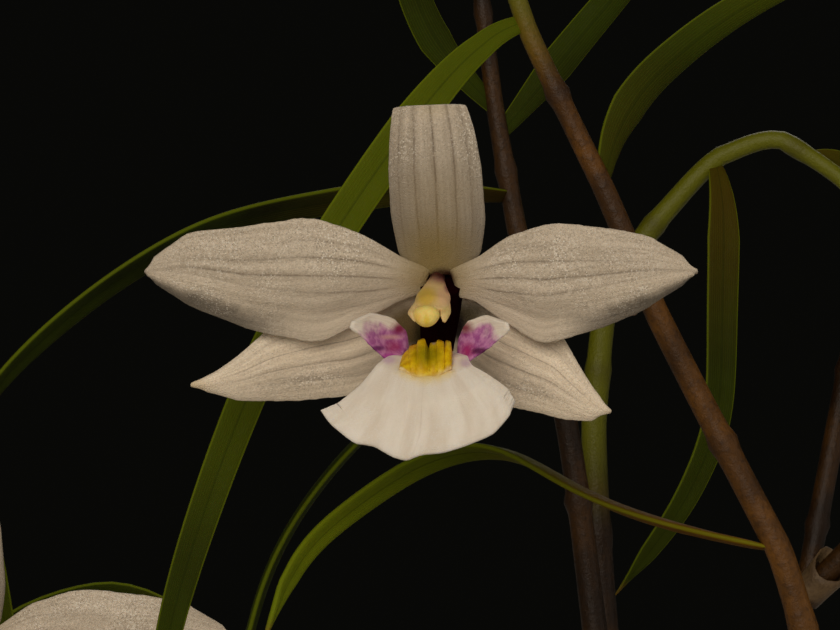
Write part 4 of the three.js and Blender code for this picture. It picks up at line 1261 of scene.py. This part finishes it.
def petal_finish():
    """Cream-white petals and sepals: fine grain with painted glints and dark specks, thin veins
    with painted shade beside them, olive at the centre with painted shade round the column, and
    painted light and shade from each blade's tone.
    """
    finish, tree, shader = new_finish("petal_skin", 0.55, subsurface_weight=0.1,
                                      subsurface_scale=0.0005, specular_ior_level=0.3)
    shader.inputs["Subsurface Radius"].default_value = FLESH_RADIUS
    place = object_place(tree)
    own_place = attribute(tree, "flower_place", "Vector")
    glitter = attribute(tree, "sparkle")
    grain = use(tree, PAPILLAE, place=place, cell_size=6.5e-5)
    veins = use(tree, VEINS, veins=attribute(tree, "veins", "Vector"), place=place, width=0.085,
                wander=0.12)
    streaks = fade(tree, noise(tree, lengthwise(tree, 3.0, 11.0), 1.0, 4.0), 0.3, 0.7)
    base = blend(tree, streaks, colour("#c2b39d"), colour("#d7c8b2"))
    swing = plus(tree, 0.16, times(tree, glitter, 0.3))
    fine = times(tree, minus(tree, grain["Grain"], 0.5), swing)
    base = blend(tree, 1.0, base, plus(tree, 1.0, fine), "MULTIPLY")
    # Dark specks on the grain: painted shade on cells that stay dark
    dark = times(tree, times(tree, grain["Specks"], glitter), 0.4)
    base = blend(tree, dark, base, colour("#6b6052"))
    # Painted light and shade from each blade's tone
    base = blend(tree, 1.0, base, attribute(tree, "tone"), "MULTIPLY")
    # Painted shade beside each vein's groove
    base = overlay(tree, base, veins["Halo"], 0.3, "#8b7a64")
    base = overlay(tree, base, veins["Line"], 0.5, "#5f503f")
    base = painted(tree, base, own_place, PETAL_MARKS)
    # Painted glints on the grain's brightest cells, which are also made glossier
    sparkle = times(tree, times(tree, grain["Sparkle"], glitter), 0.8)
    base = blend(tree, sparkle, base, colour("#fff8ea"))
    feed(tree, shader.inputs["Roughness"], fade(tree, sparkle, 0.0, 1.0, 0.55, 0.25))
    height = minus(tree, grain["Height"], times(tree, veins["Line"], 0.6))
    cover(tree, shader, base, height, 1.8e-5)
    return finish


def painted(tree, base, own_place, marks):
    """Soft spots of colour over a base: centre, size, edge, ragged, strength and colour each."""
    for centre, size, edge, ragged, strength, tint in marks:
        spot = use(tree, SPOT, place=own_place, centre=centre, size=size, edge=edge, ragged=ragged)
        base = overlay(tree, base, spot["Mask"], strength, tint)
    return base


def lip_base(tree, shader):
    """The white of the lip, its place in the flower and its grain, with painted glints."""
    shader.inputs["Subsurface Radius"].default_value = FLESH_RADIUS
    grain = use(tree, PAPILLAE, place=object_place(tree), cell_size=6e-5)
    streaks = fade(tree, noise(tree, lengthwise(tree, 2.0, 5.0), 1.0, 3.0), 0.3, 0.7)
    base = blend(tree, streaks, colour("#ecdfcd"), colour("#fdf3e5"))
    base = overlay(tree, base, grain["Grain"], 0.12, "#d8cab8")
    # Painted glints on the grain's brightest cells
    base = overlay(tree, base, grain["Sparkle"], 0.25, "#ffffff")
    feed(tree, shader.inputs["Normal"], relief_of(tree, grain["Height"], 0.8e-5))
    return base, attribute(tree, "flower_place", "Vector")


def lip_finish():
    """The white middle lobe: yellow round the callus and lilac where the side lobes leave it."""
    finish, tree, shader = new_finish("lip_skin", 0.5, subsurface_weight=0.18,
                                      subsurface_scale=0.0005, sheen_weight=0.1,
                                      specular_ior_level=0.15)
    base, own_place = lip_base(tree, shader)
    veins = use(tree, VEINS, veins=attribute(tree, "veins", "Vector"), place=object_place(tree),
                width=0.05, wander=0.08)
    base = overlay(tree, base, veins["Line"], 0.5, "#bfae97")
    base = painted(tree, base, own_place, LIP_MARKS)
    cover(tree, shader, base)
    return finish


def callus_finish():
    """The callus: deep yellow, olive between its ridges, and white where it meets the lip."""
    finish, tree, shader = new_finish("callus_skin", 0.45, subsurface_weight=0.15,
                                      subsurface_scale=0.0004, specular_ior_level=0.2)
    white, own_place = lip_base(tree, shader)
    drift = noise(tree, own_place, 3.0, 4.0)
    base = blend(tree, fade(tree, drift, 0.35, 0.65), colour("#d9a800"), colour("#f2cb16"))
    base = painted(tree, base, own_place, CALLUS_MARKS)
    along = plus(tree, attribute(tree, "along"), times(tree, drift, 0.2))
    end = fade(tree, along, 0.9, 1.2, 0.0, 0.6)
    cover(tree, shader, blend(tree, end, base, white))
    return finish


def lobe_finish():
    """The side lobes: white along the upper rim, magenta below it, crimson at the root."""
    finish, tree, shader = new_finish("side_lobe_skin", 0.48, subsurface_weight=0.15,
                                      subsurface_scale=0.0004, specular_ior_level=0.25)
    base, own_place = lip_base(tree, shader)
    across, along = attribute(tree, "across"), attribute(tree, "along")
    drift = minus(tree, noise(tree, own_place, 2.2, 4.0), 0.5)
    limit = fade(tree, along, 0.22, 0.5, 1.5, 0.35)
    above = plus(tree, across, times(tree, drift, 0.8))
    rim = fade(tree, minus(tree, above, limit), -0.3, 0.3)
    outer = fade(tree, plus(tree, along, times(tree, drift, 0.4)), 0.55, 0.82)
    zone = times(tree, minus(tree, 1.0, rim), minus(tree, 1.0, outer))
    magenta = blend(tree, fade(tree, noise(tree, own_place, 3.5, 3.0), 0.35, 0.65),
                    colour("#a8479a"), colour("#cf86bd"))
    base = blend(tree, times(tree, zone, 0.95), base, magenta)
    base = painted(tree, base, own_place, LOBE_MARKS)
    cover(tree, shader, base)
    return finish


def column_finish():
    """The column: maroon at its root, olive-yellow on its back and pinkish cream beside it."""
    finish, tree, shader = new_finish("column_skin", 0.45, subsurface_weight=0.1,
                                      subsurface_scale=0.0004, specular_ior_level=0.3)
    own_place = attribute(tree, "flower_place", "Vector")
    grain = use(tree, PAPILLAE, place=object_place(tree), cell_size=6e-5)
    base = blend(tree, grain["Grain"], colour("#dcba7c"), colour("#eccd90"))
    base = painted(tree, base, own_place, COLUMN_MARKS)
    cover(tree, shader, base, grain["Height"], 1.2e-5)
    return finish


def throat_shade_finish():
    """The hollow under the column: dark maroon deepened to near black as painted shade."""
    finish, tree, shader = new_finish("throat_shade_skin", 1.0, specular_ior_level=0.0)
    grain = use(tree, PAPILLAE, place=object_place(tree), cell_size=6e-5)
    base = blend(tree, grain["Grain"], colour("#100203"), colour("#1c0407"))
    cover(tree, shader, base)
    return finish


def cap_finish():
    """The anther cap: lemon yellow, a little greener down its middle."""
    finish, tree, shader = new_finish("cap_skin", 0.45, subsurface_weight=0.25,
                                      subsurface_scale=0.0004, specular_ior_level=0.3)
    own_place = attribute(tree, "flower_place", "Vector")
    grain = use(tree, PAPILLAE, place=object_place(tree), cell_size=7e-5)
    base = blend(tree, grain["Grain"], colour("#ffdd6e"), colour("#ffe98e"))
    base = painted(tree, base, own_place, CAP_MARKS)
    cover(tree, shader, base, grain["Height"], 1.0e-5)
    return finish


def stalk_finish():
    """Ovary and flower stalk: pale green that turns purplish-brown towards the cane, with painted
    shade where it starts behind the flower.
    """
    finish, tree, shader = new_finish("stalk_skin", 0.45, subsurface_weight=0.1,
                                      subsurface_scale=0.0005)
    place = object_place(tree)
    grain = use(tree, MOTTLE, place=place, patch_size=0.002, grain_size=2e-4)
    base = blend(tree, fade(tree, attribute(tree, "along"), 0.15, 0.8), colour("#b9bd86"),
                 colour("#7d5f3c"))
    base = overlay(tree, base, grain["Patches"], 0.4, "#8f6a58")
    # Painted shade: dark maroon at the stalk's start, in the gap behind the flower's base
    base = blend(tree, fade(tree, attribute(tree, "along"), 0.12, 0.06), base, colour("#1f080a"))
    cover(tree, shader, base, grain["Grain"], 4e-5)
    return finish


def leaf_finish():
    """Grass-like leaves: deep green, yellower in some, with fine nerves, a pale margin and painted
    shade along the middle fold.
    """
    finish, tree, shader = new_finish("leaf_skin", 0.5, subsurface_weight=0.06,
                                      subsurface_scale=0.0005, specular_ior_level=0.08)
    place = object_place(tree)
    across, along = attribute(tree, "across"), attribute(tree, "along")
    grain = use(tree, MOTTLE, place=place, patch_size=0.006, grain_size=2.5e-4)
    base = blend(tree, attribute(tree, "leaf_tone"), colour("#0f1600"), colour("#6b7608"))
    base = overlay(tree, base, grain["Patches"], 0.3, "#3a4a04")
    base = blend(tree, attribute(tree, "leaf_dry"), base, colour("#6a4708"))
    nerves = times(tree, across, 7.0)
    offset = maths(tree, "ABSOLUTE", minus(tree, nerves, maths(tree, "ROUND", nerves)))
    nerve = fade(tree, offset, 0.22, 0.0)
    base = overlay(tree, base, nerve, 0.06, "#8a9426")
    # Painted shade along the middle fold of the leaf
    middle = fade(tree, maths(tree, "ABSOLUTE", across), 0.12, 0.0)
    base = overlay(tree, base, middle, 0.35, "#1a2400")
    margin = fade(tree, maths(tree, "ABSOLUTE", across), 0.9, 0.98)
    base = overlay(tree, base, margin, 0.4, "#7d8c10")
    tip = fade(tree, along, 0.96, 1.0)
    base = overlay(tree, base, tip, 0.7, "#7a5a24")
    feed(tree, shader.inputs["Roughness"], fade(tree, grain["Grain"], 0.3, 0.7, 0.6, 0.8))
    height = plus(tree, nerve, times(tree, grain["Grain"], 0.7))
    cover(tree, shader, base, height, 1.0e-5)
    return finish


def stem_finish():
    """Wiry canes: orange-brown with darker streaks and joints, yellow-green when young."""
    finish, tree, shader = new_finish("cane_skin", 0.48, specular_ior_level=0.3)
    place = object_place(tree)
    grain = use(tree, MOTTLE, place=place, patch_size=0.004, grain_size=3e-4)
    base = blend(tree, grain["Patches"], colour("#422808"), colour("#744a12"))
    base = blend(tree, fade(tree, grain["Grain"], 0.45, 0.7, 0.0, 0.5), base, colour("#2a1806"))
    # Painted shade in part: the bark's lightness for each cane, darker on all but the front cane
    base = blend(tree, 1.0, base, attribute(tree, "light"), "MULTIPLY")
    base = blend(tree, attribute(tree, "young"), base, colour("#67680a"))
    base = overlay(tree, base, attribute(tree, "joint"), 0.6, "#2a1808")
    cover(tree, shader, base, grain["Grain"], 8e-5)
    return finish


def sheath_finish():
    """Papery sheaths at the joints: dry tan with streaks."""
    finish, tree, shader = new_finish("sheath_paper", 0.6)
    place = object_place(tree)
    grain = use(tree, MOTTLE, place=place, patch_size=0.003, grain_size=2e-4)
    base = blend(tree, grain["Patches"], colour("#4f3a22"), colour("#7a6240"))
    base = blend(tree, fade(tree, grain["Grain"], 0.5, 0.7, 0.0, 0.6), base, colour("#49331a"))
    cover(tree, shader, base, grain["Grain"], 6e-5)
    return finish


def bud_finish():
    """Closed buds: greenish cream with faint ribs."""
    finish, tree, shader = new_finish("bud_skin", 0.48, subsurface_weight=0.15,
                                      subsurface_scale=0.0006)
    place = object_place(tree)
    grain = use(tree, PAPILLAE, place=place, cell_size=8e-5)
    base = blend(tree, grain["Grain"], colour("#b9bd8d"), colour("#e3e2c4"))
    ribs = maths(tree, "SINE", times(tree, attribute(tree, "across"), 25.1))
    base = blend(tree, fade(tree, ribs, 0.4, 1.0, 0.0, 0.4), base, colour("#8f9a5a"))
    stalk = fade(tree, attribute(tree, "along"), 0.52, 0.44)
    base = blend(tree, stalk, base, colour("#8a7a48"))
    cover(tree, shader, base, grain["Height"], 2e-5)
    return finish


def clay_finish():
    """Fired clay: turning lines, pale lime bloom and a darker damp foot."""
    finish, tree, shader = new_finish("fired_clay", 0.85, specular_ior_level=0.3)
    place = object_place(tree)
    grain = use(tree, MOTTLE, place=place, patch_size=0.018, grain_size=6e-4)
    bloom = use(tree, MOTTLE, place=place, patch_size=0.03, grain_size=1.5e-3)
    height_above_foot = apart(tree, place)[2]
    base = blend(tree, grain["Patches"], colour("#a3552f"), colour("#c07548"))
    base = blend(tree, fade(tree, grain["Grain"], 0.52, 0.7, 0.0, 0.55), base, colour("#7d3d20"))
    lime = times(tree, bloom["Patches"], fade(tree, bloom["Grain"], 0.4, 0.62))
    base = overlay(tree, base, lime, 0.6, "#d9c3ae")
    damp = fade(tree, height_above_foot, 0.022, 0.002)
    base = overlay(tree, base, damp, 0.5, "#6b3a22")
    rings = maths(tree, "SINE", times(tree, height_above_foot, 5200.0))
    height = plus(tree, times(tree, rings, 0.25), grain["Grain"])
    feed(tree, shader.inputs["Roughness"], fade(tree, grain["Grain"], 0.3, 0.7, 0.75, 0.95))
    cover(tree, shader, base, height, 2.5e-4)
    return finish


def bark_finish():
    """Bark chips: brown cork with a grain, each chip a little lighter or darker."""
    finish, tree, shader = new_finish("bark_chips", 0.85, specular_ior_level=0.3)
    place = object_place(tree)
    grain = use(tree, MOTTLE, place=place, patch_size=0.004, grain_size=4e-4)
    base = blend(tree, attribute(tree, "chip_tone"), colour("#4a2f1d"), colour("#8a5f3c"))
    base = overlay(tree, base, grain["Patches"], 0.5, "#6b4529")
    base = blend(tree, fade(tree, grain["Grain"], 0.5, 0.72, 0.0, 0.7), base, colour("#2a1a10"))
    cover(tree, shader, base, grain["Grain"], 4e-4)
    return finish


# Geometry node trees

def shape_tree(name, inputs):
    """A tree with named inputs that takes and gives a shape."""
    shape = ("Geometry", "NodeSocketGeometry")
    return new_group(name, [(*shape, None)] + inputs, [shape], "GeometryNodeTree")


def random_value(tree, kind, out, **links):
    """A seeded random value for each point. A range is given by its low and high sockets."""
    made = add_node(tree, "FunctionNodeRandomValue", {"Seed": links.pop("seed")}, data_type=kind)
    if "chance" in links:
        feed(tree, made.inputs["Probability"], links["chance"])
    else:
        feed(tree, made.inputs[2], links["low"])
        feed(tree, made.inputs[3], links["high"])
    return made.outputs[out]


def joint_swelling(tree, given, share):
    """How near each point is to a joint, from 0 to 1, with the joints a little unevenly apart."""
    wander = add_node(tree, "ShaderNodeTexNoise", {"Scale": 60.0, "Detail": 1.0})
    steps = maths(tree, "DIVIDE", share["Length"], given["Joint spacing"])
    steps = plus(tree, steps, times(tree, wander.outputs[0], 0.6))
    offset = maths(tree, "ABSOLUTE", minus(tree, steps, maths(tree, "ROUND", steps)))
    near = minus(tree, 1.0, times(tree, offset, 2.0))
    return maths(tree, "POWER", near, 14.0)


def round_stem(tree, given, line, scale):
    ring = add_node(tree, "GeometryNodeCurvePrimitiveCircle",
                    {"Resolution": given["Sides"], "Radius": 1.0})
    stem = add_node(tree, "GeometryNodeCurveToMesh",
                    {"Curve": line, "Profile Curve": ring.outputs[0], "Scale": scale,
                     "Fill Caps": True})
    stem = add_node(tree, "GeometryNodeSetShadeSmooth", {"Geometry": stem.outputs[0]})
    stem = add_node(tree, "GeometryNodeSetMaterial",
                    {"Geometry": stem.outputs[0], "Material": given["Stem finish"]})
    return stem.outputs[0]


def sheaths_along(tree, given, line):
    """A cuff at some of the lower joints, as wide as the stem there."""
    held = add_node(tree, "GeometryNodeCurveToPoints",
                    {"Curve": line, "Length": given["Joint spacing"]}, mode="LENGTH")
    sheath = add_node(tree, "GeometryNodeObjectInfo", {"Object": given["Sheath"]})
    reached = add_node(tree, "GeometryNodeInputNamedAttribute", {"Name": "along"},
                       data_type="FLOAT")
    low = maths(tree, "LESS_THAN", reached.outputs[0], given["Sheaths up to"])
    chosen = random_value(tree, "BOOLEAN", 3, chance=times(tree, low, 0.6),
                          seed=given["Seed"])
    girth = tree.nodes.new("GeometryNodeInputRadius").outputs[0]
    spread = random_value(tree, "FLOAT", 1, low=1.05, high=1.3, seed=given["Seed"])
    cuffs = add_node(tree, "GeometryNodeInstanceOnPoints",
                     {"Points": held.outputs["Points"], "Selection": chosen,
                      "Instance": sheath.outputs["Geometry"],
                      "Rotation": held.outputs["Rotation"],
                      "Scale": times(tree, girth, spread)})
    cuffs = add_node(tree, "GeometryNodeSetMaterial",
                     {"Geometry": cuffs.outputs[0], "Material": given["Sheath finish"]})
    return cuffs.outputs[0]


def cane_tree():
    """Canes from their centre lines: a round stem with a swollen joint at each step, and a
    papery sheath above some of the lower joints."""
    tree, given, result = shape_tree("cane_stems", [
        ("Joint spacing", FLOAT, 0.009), ("Joint swelling", FLOAT, 0.28),
        ("Young from", FLOAT, 0.86), ("Sheaths up to", FLOAT, 0.35), ("Light", FLOAT, 0.3),
        ("Sides", "NodeSocketInt", 12), ("Sheath", "NodeSocketObject", None),
        ("Stem finish", "NodeSocketMaterial", None), ("Sheath finish", "NodeSocketMaterial", None),
        ("Seed", "NodeSocketInt", 7),
    ])
    line = add_node(tree, "GeometryNodeResampleCurve",
                    {"Curve": given["Geometry"], "Length": 0.0006}, mode="LENGTH")
    line = line.outputs["Curve"]
    share = tree.nodes.new("GeometryNodeSplineParameter").outputs
    joint = joint_swelling(tree, given, share)
    radius = tree.nodes.new("GeometryNodeInputRadius").outputs[0]
    swollen = plus(tree, 1.0, times(tree, joint, given["Joint swelling"]))
    scale = times(tree, radius, swollen)
    young = fade(tree, share["Factor"], given["Young from"],
                 plus(tree, given["Young from"], 0.04))
    for name, value in [("joint", joint), ("along", share["Factor"]), ("young", young),
                        ("light", given["Light"])]:
        kept = add_node(tree, "GeometryNodeStoreNamedAttribute",
                        {"Geometry": line, "Name": name, "Value": value},
                        data_type="FLOAT", domain="POINT")
        line = kept.outputs[0]
    both = add_node(tree, "GeometryNodeJoinGeometry")
    tree.links.new(sheaths_along(tree, given, line), both.inputs[0])
    tree.links.new(round_stem(tree, given, line, scale), both.inputs[0])
    real = add_node(tree, "GeometryNodeRealizeInstances", {"Geometry": both.outputs[0]})
    feed(tree, result["Geometry"], real.outputs[0])
    return tree


def grown(name, source, tree, slot_name, nodes, **values):
    """Runs a tree on an object and keeps the result as a plain piece."""
    bpy.context.scene.collection.objects.link(source)
    modifier = source.modifiers.new("shape", "NODES")
    modifier.node_group = tree
    ids = {item.name: item.identifier for item in tree.interface.items_tree
           if item.item_type == "SOCKET" and item.in_out == "INPUT"}
    for key, value in values.items():
        modifier[ids[key.replace("_", " ").capitalize()]] = value
    shaped = source.evaluated_get(bpy.context.evaluated_depsgraph_get())
    mesh = bpy.data.meshes.new_from_object(shaped)
    mesh.name = name
    bpy.data.objects.remove(source)
    return piece_of_mesh(name, mesh, slot_name, *nodes)


def sheath_shape():
    """One papery cuff round a stem of radius 1, open at both ends, torn on one side."""
    sides, rows = 14, 5
    points, faces = [], []
    for wall in (0, 1):
        for i in range(rows):
            t = i / (rows - 1)
            for j in range(sides):
                angle = 2 * math.pi * j / sides
                torn = 0.5 * max(0, math.cos(angle)) * t
                radius = 1.06 + 0.06 * t + 0.2 * t * t - wall * 0.12
                points.append((radius * math.cos(angle), radius * math.sin(angle),
                               3.2 * t - torn * 2.4))
    count = sides * rows
    for a, b, c, d in ring_quads(rows, sides):
        faces += [(a, b, c, d), (a + count, d + count, c + count, b + count)]
    last = (rows - 1) * sides
    for j in range(sides):
        k = (j + 1) % sides
        faces += [(k, j, j + count, k + count),
                  (last + j, last + k, last + k + count, last + j + count)]
    mesh = bpy.data.meshes.new("sheath_shape")
    mesh.from_pydata(points, [], faces)
    mesh.polygons.foreach_set("use_smooth", [True] * len(mesh.polygons))
    return bpy.data.objects.new("sheath_shape", mesh)


def centre_lines(name, lines):
    """A curve object of plain lines, each a path and its radius along it."""
    data = bpy.data.curves.new(name, "CURVE")
    data.dimensions = "3D"
    for path, radius_at in lines:
        t = samples(path, 0.8)
        spline = data.splines.new("POLY")
        spline.points.add(len(t) - 1)
        flat = np.hstack([path.at(t) * MM, np.ones((len(t), 1))])
        spline.points.foreach_set("co", flat.ravel())
        spline.points.foreach_set("radius", radius_at(t) * MM)
    return bpy.data.objects.new(name, data)


class Eased:
    """A path with its sharper bends eased: each point is a mean of those near it."""

    def __init__(self, path, window=0.11):
        self.path, self.window = path, window

    def at(self, t):
        t = np.atleast_1d(np.asarray(t, float))
        reach = np.minimum(self.window, np.minimum(t, 1 - t))
        shifts = np.linspace(-1, 1, 9)
        weights = 1 - 0.8 * abs(shifts)
        total = sum(w * self.path.at(np.clip(t + s * reach, 0, 1))
                    for s, w in zip(shifts, weights))
        return total / weights.sum()

    def heading(self, t):
        t = np.atleast_1d(np.asarray(t, float))
        return unit(self.at(np.minimum(t + 5e-3, 1)) - self.at(np.maximum(t - 5e-3, 0)))


def leaf_surface(path, side):
    """A leaf folded a little along its middle, that narrows to a blunt point."""
    path = Eased(path)

    def surface(u, v):
        heading = path.heading(u)
        across = unit(side - heading * (heading @ side)[:, None])
        facing = np.cross(heading, across)
        tip = 1 - 0.75 * smooth(0.9, 1, u)
        width = leaf_width(u) * tip
        fold = 0.22 * np.abs(v) * smooth(0, 0.15, u)
        return path.at(u) + across * (v * width)[:, None] + facing * (fold * width)[:, None]

    return surface


def leaf_parts(cane, seed, rows):
    random = random_from(seed)
    parts = []
    for path, side, tones, dry in cane["leaves"]:
        low, high = tones or (0.05 + 0.2 * next(random), 0.1 + 0.3 * next(random))
        marks = {"leaf_tone": lambda u, v: lerp(low, high, smooth(0.4, 0.8, u)),
                 "leaf_dry": lambda u, v: dry * smooth(0.55, 0.1, u)}
        parts.append(blade(leaf_surface(path, side), rows, 8, LEAF_THICKNESS, rim=0.3, **marks))
    return parts


# Pieces

def build_canes(canes, finishes):
    tree = cane_tree()
    sheath = sheath_shape()
    for i, cane in enumerate(canes):
        name = cane["name"]
        lines = centre_lines(f"line_{i + 1}", cane["lines"])
        grown(f"stems_{i + 1}", lines, tree, "leaf", [name],
              sheath=sheath, stem_finish=finishes["cane"], sheath_finish=finishes["sheath"],
              young_from=YOUNG_FROM.get(name, USUAL_YOUNG_FROM),
              light=BARK_LIGHT.get(name, USUAL_BARK_LIGHT), seed=i + 3)
        leaves = leaf_parts(cane, 500 + i, NEAR_LEAF_ROWS if i < 3 else LEAF_ROWS)
        piece_from(f"leaves_{i + 1}", leaves, [finishes["leaf"]], "leaf", name)
    bpy.data.objects.remove(sheath)


def build_flowers(flowers, finishes):
    for i, flower in enumerate(flowers):
        fine = NEAR_FLOWER_FINE if i == 0 else FLOWER_FINE
        name, pose = flower["name"], flower["pose"]
        petals = [part.placed(pose) for part in flower_blades(fine)]
        piece_from(f"petals_{i + 1}", petals, [finishes["petal"]], "petal", name)
        column = [part.placed(pose) for part in column_parts(fine)]
        piece_from(f"column_{i + 1}", column,
                   [finishes[part] for part in ("column", "throat", "cap")], "petal", name)
        stalk = [stalk_part(flower["stalk"], fine).placed(pose)]
        piece_from(f"stalk_{i + 1}", stalk, [finishes["stalk"]], "petal", name)
        lip = [part.placed(pose) for part in lip_parts(fine)]
        piece_from(f"lip_{i + 1}", lip, [finishes[part] for part in ("lip", "lobe", "callus")],
                   "lip", f"{name}_lip")


def build_buds(buds, finish):
    for i, bud in enumerate(buds):
        part = tube(bud["path"], bud_radius, 60, 24)
        piece_from(f"closed_bud_{i + 1}", [part], [finish], "bud", bud["name"])


def pot_inner(z):
    return lerp(POT_BASE_RADIUS, POT_TOP_RADIUS, z / POT_HEIGHT) - POT_WALL


def rounded(profile, radii, steps=5):
    """A profile with its corners rounded by the radii given for them."""
    points = [np.array(p, float) for p in profile]
    made = [points[0]]
    for before, here, after, radius in zip(points, points[1:], points[2:], radii):
        if radius == 0:
            made.append(here)
            continue
        start = here + unit(before - here) * radius
        end = here + unit(after - here) * radius
        for t in np.linspace(0, 1, steps):
            made.append(lerp(lerp(start, here, t), lerp(here, end, t), t))
    return made + [points[-1]]


def build_pot(finish):
    rim_foot = POT_HEIGHT - RIM_HEIGHT
    profile = [
        (0, 0), (POT_BASE_RADIUS, 0),
        (pot_inner(rim_foot) + POT_WALL, rim_foot), (RIM_RADIUS, rim_foot),
        (RIM_RADIUS + 0.6, POT_HEIGHT), (pot_inner(POT_HEIGHT), POT_HEIGHT),
        (pot_inner(POT_FLOOR), POT_FLOOR), (0, POT_FLOOR),
    ]
    radii = [1.2, 0.8, 1.2, RIM_ROUND + 0.6, RIM_ROUND, 2.5]
    shell = lathe(rounded(profile, radii), 128)
    piece_from("clay_pot", [shell], [finish], "terracotta", "pot")


def chip_shape(seed, size):
    """One chip of bark: a flat lump with broken edges, of the given length, width and height."""
    random = random_from(seed)
    wobble = [0.75 + 0.4 * next(random) for _ in range(10)]

    def ring_at(t, angle):
        radius = 0.5 * (1 - abs(2 * t - 1) ** 3) ** 0.5 + 0.02
        edge = np.interp(angle, np.linspace(0, 2 * np.pi, 11), wobble + wobble[:1])
        square = np.maximum(abs(np.cos(angle)), abs(np.sin(angle)))
        x, y = (f(angle) * radius * edge / square for f in (np.cos, np.sin))
        return np.stack([x * size[0], y * size[1], np.full_like(angle, (t - 0.5) * size[2])], 1)

    return loft(ring_at, 7, 20)


def build_bark(finish):
    def wall(z):
        return pot_inner(z) - FIT

    floor = POT_FLOOR + FIT
    profile = [(0, floor), (wall(floor), floor), (wall(BARK_TOP - 2), BARK_TOP - 2),
               (wall(BARK_TOP) * 0.6, BARK_TOP + BARK_DOME * 0.6), (0, BARK_TOP + BARK_DOME)]
    parts = [lathe(profile, 64)]
    parts[0].values["chip_tone"] = np.full(len(parts[0].points), 0.1)
    random = random_from(31)
    reach = POT_TOP_RADIUS - POT_WALL - CHIP_LENGTH / 2 - CHIP_INSET
    for i in range(CHIP_COUNT):
        radius = reach * math.sqrt((i + 0.5) / CHIP_COUNT)
        angle = i * GOLDEN_TURN + next(random) * 0.5
        length = CHIP_LENGTH * (0.6 + next(random) * 0.4)
        width = length * (0.45 + next(random) * 0.25)
        height = lerp(*CHIP_THICKNESS, next(random))
        tilt_x, tilt_y = ((next(random) - 0.5) * 2 * CHIP_TILT for _ in range(2))
        turn = next(random) * 2 * math.pi
        part = chip_shape(900 + i, (length, width, height))
        for axis, amount in (((0, 0, 1), turn), ((0, 1, 0), tilt_y), ((1, 0, 0), tilt_x)):
            part.points = turned(part.points, np.array(axis, float), amount)
        z = BARK_TOP + BARK_DOME * (1 - radius / reach) * 0.8 + CHIP_LIFT
        part.points = part.points + [radius * math.cos(angle), radius * math.sin(angle), z]
        part.values["chip_tone"] = np.full(len(part.points), (i * 0.37) % 1)
        parts.append(part)
    piece_from("bark_and_chips", parts, [finish], "bark", "bark_mix")


# Camera, light and floor

FLOWER_DISTANCE = 0.203
VIEW_HEIGHT = 0.205
FLOWER_PLANE = -0.045


# Each lamp's name, place, width, power and tint
LAMPS = [
    ("key_light", (-0.35, -1.85, 1.0), 1.5, 24.0, (1.0, 0.91, 0.8)),
    ("fill_light", (1.7, -0.5, 0.7), 1.4, 4.0, (1.0, 0.93, 0.85)),
    ("back_light", (0.3, 1.8, 1.5), 1.4, 7.0, (1.0, 0.95, 0.88)),
]
LAMPS_AIM = (0, -0.02, 0.16)
BACKDROP = (0.0025, 0.0025, 0.002, 1)


def place_camera(scene):
    camera = bpy.data.cameras.new("photo_view")
    camera.sensor_width = 36
    camera.lens = 200
    camera.clip_start, camera.clip_end = 0.01, 10
    viewer = bpy.data.objects.new("photo_view", camera)
    viewer.location = (0, FLOWER_PLANE - FLOWER_DISTANCE, VIEW_HEIGHT)
    viewer.rotation_euler = (math.pi / 2, 0, 0)
    scene.collection.objects.link(viewer)
    scene.camera = viewer


def hang_lamp(scene, name, place, size, power, tint):
    light = bpy.data.lights.new(name, "AREA")
    light.shape = "DISK"
    light.size = size
    light.energy = power
    light.color = tint
    lamp = bpy.data.objects.new(name, light)
    lamp.location = place
    away = np.array(place) - np.array(LAMPS_AIM)
    lamp.rotation_euler = (math.acos(away[2] / np.linalg.norm(away)), 0,
                           math.atan2(away[1], away[0]) + math.pi / 2)
    lamp.visible_camera = False
    scene.collection.objects.link(lamp)


def build_stage():
    scene = bpy.context.scene
    scene.view_settings.view_transform = "Standard"
    place_camera(scene)
    for lamp in LAMPS:
        hang_lamp(scene, *lamp)
    world = bpy.data.worlds.new("studio")
    world.use_nodes = True
    backdrop = world.node_tree.nodes["Background"].inputs
    backdrop[0].default_value, backdrop[1].default_value = BACKDROP, 1.0
    scene.world = world
    build_floor()


def build_floor():
    finish, tree, shader = new_finish("floor_paper", 0.8)
    grain = noise(tree, object_place(tree), 40.0)
    cover(tree, shader, blend(tree, grain, colour("#c9c7c2"), colour("#d4d2cd")))
    mesh = bpy.data.meshes.new("floor")
    angle = np.linspace(0, 2 * np.pi, 96, endpoint=False)
    mesh.from_pydata([(2.4 * math.cos(a), 2.4 * math.sin(a), 0) for a in angle], [],
                     [tuple(range(96))])
    mesh.materials.append(finish)
    floor = bpy.data.objects.new("floor", mesh)
    bpy.context.scene.collection.objects.link(floor)


def main():
    canes, flowers, buds = plant_layout()
    finishes = {"cane": stem_finish(), "sheath": sheath_finish(), "leaf": leaf_finish(),
                "petal": petal_finish(), "column": column_finish(), "throat": throat_shade_finish(),
                "cap": cap_finish(), "stalk": stalk_finish(), "lip": lip_finish(),
                "lobe": lobe_finish(), "callus": callus_finish()}
    build_canes(canes, finishes)
    build_flowers(flowers, finishes)
    build_buds(buds, bud_finish())
    build_pot(clay_finish())
    build_bark(bark_finish())
    build_stage()


main()
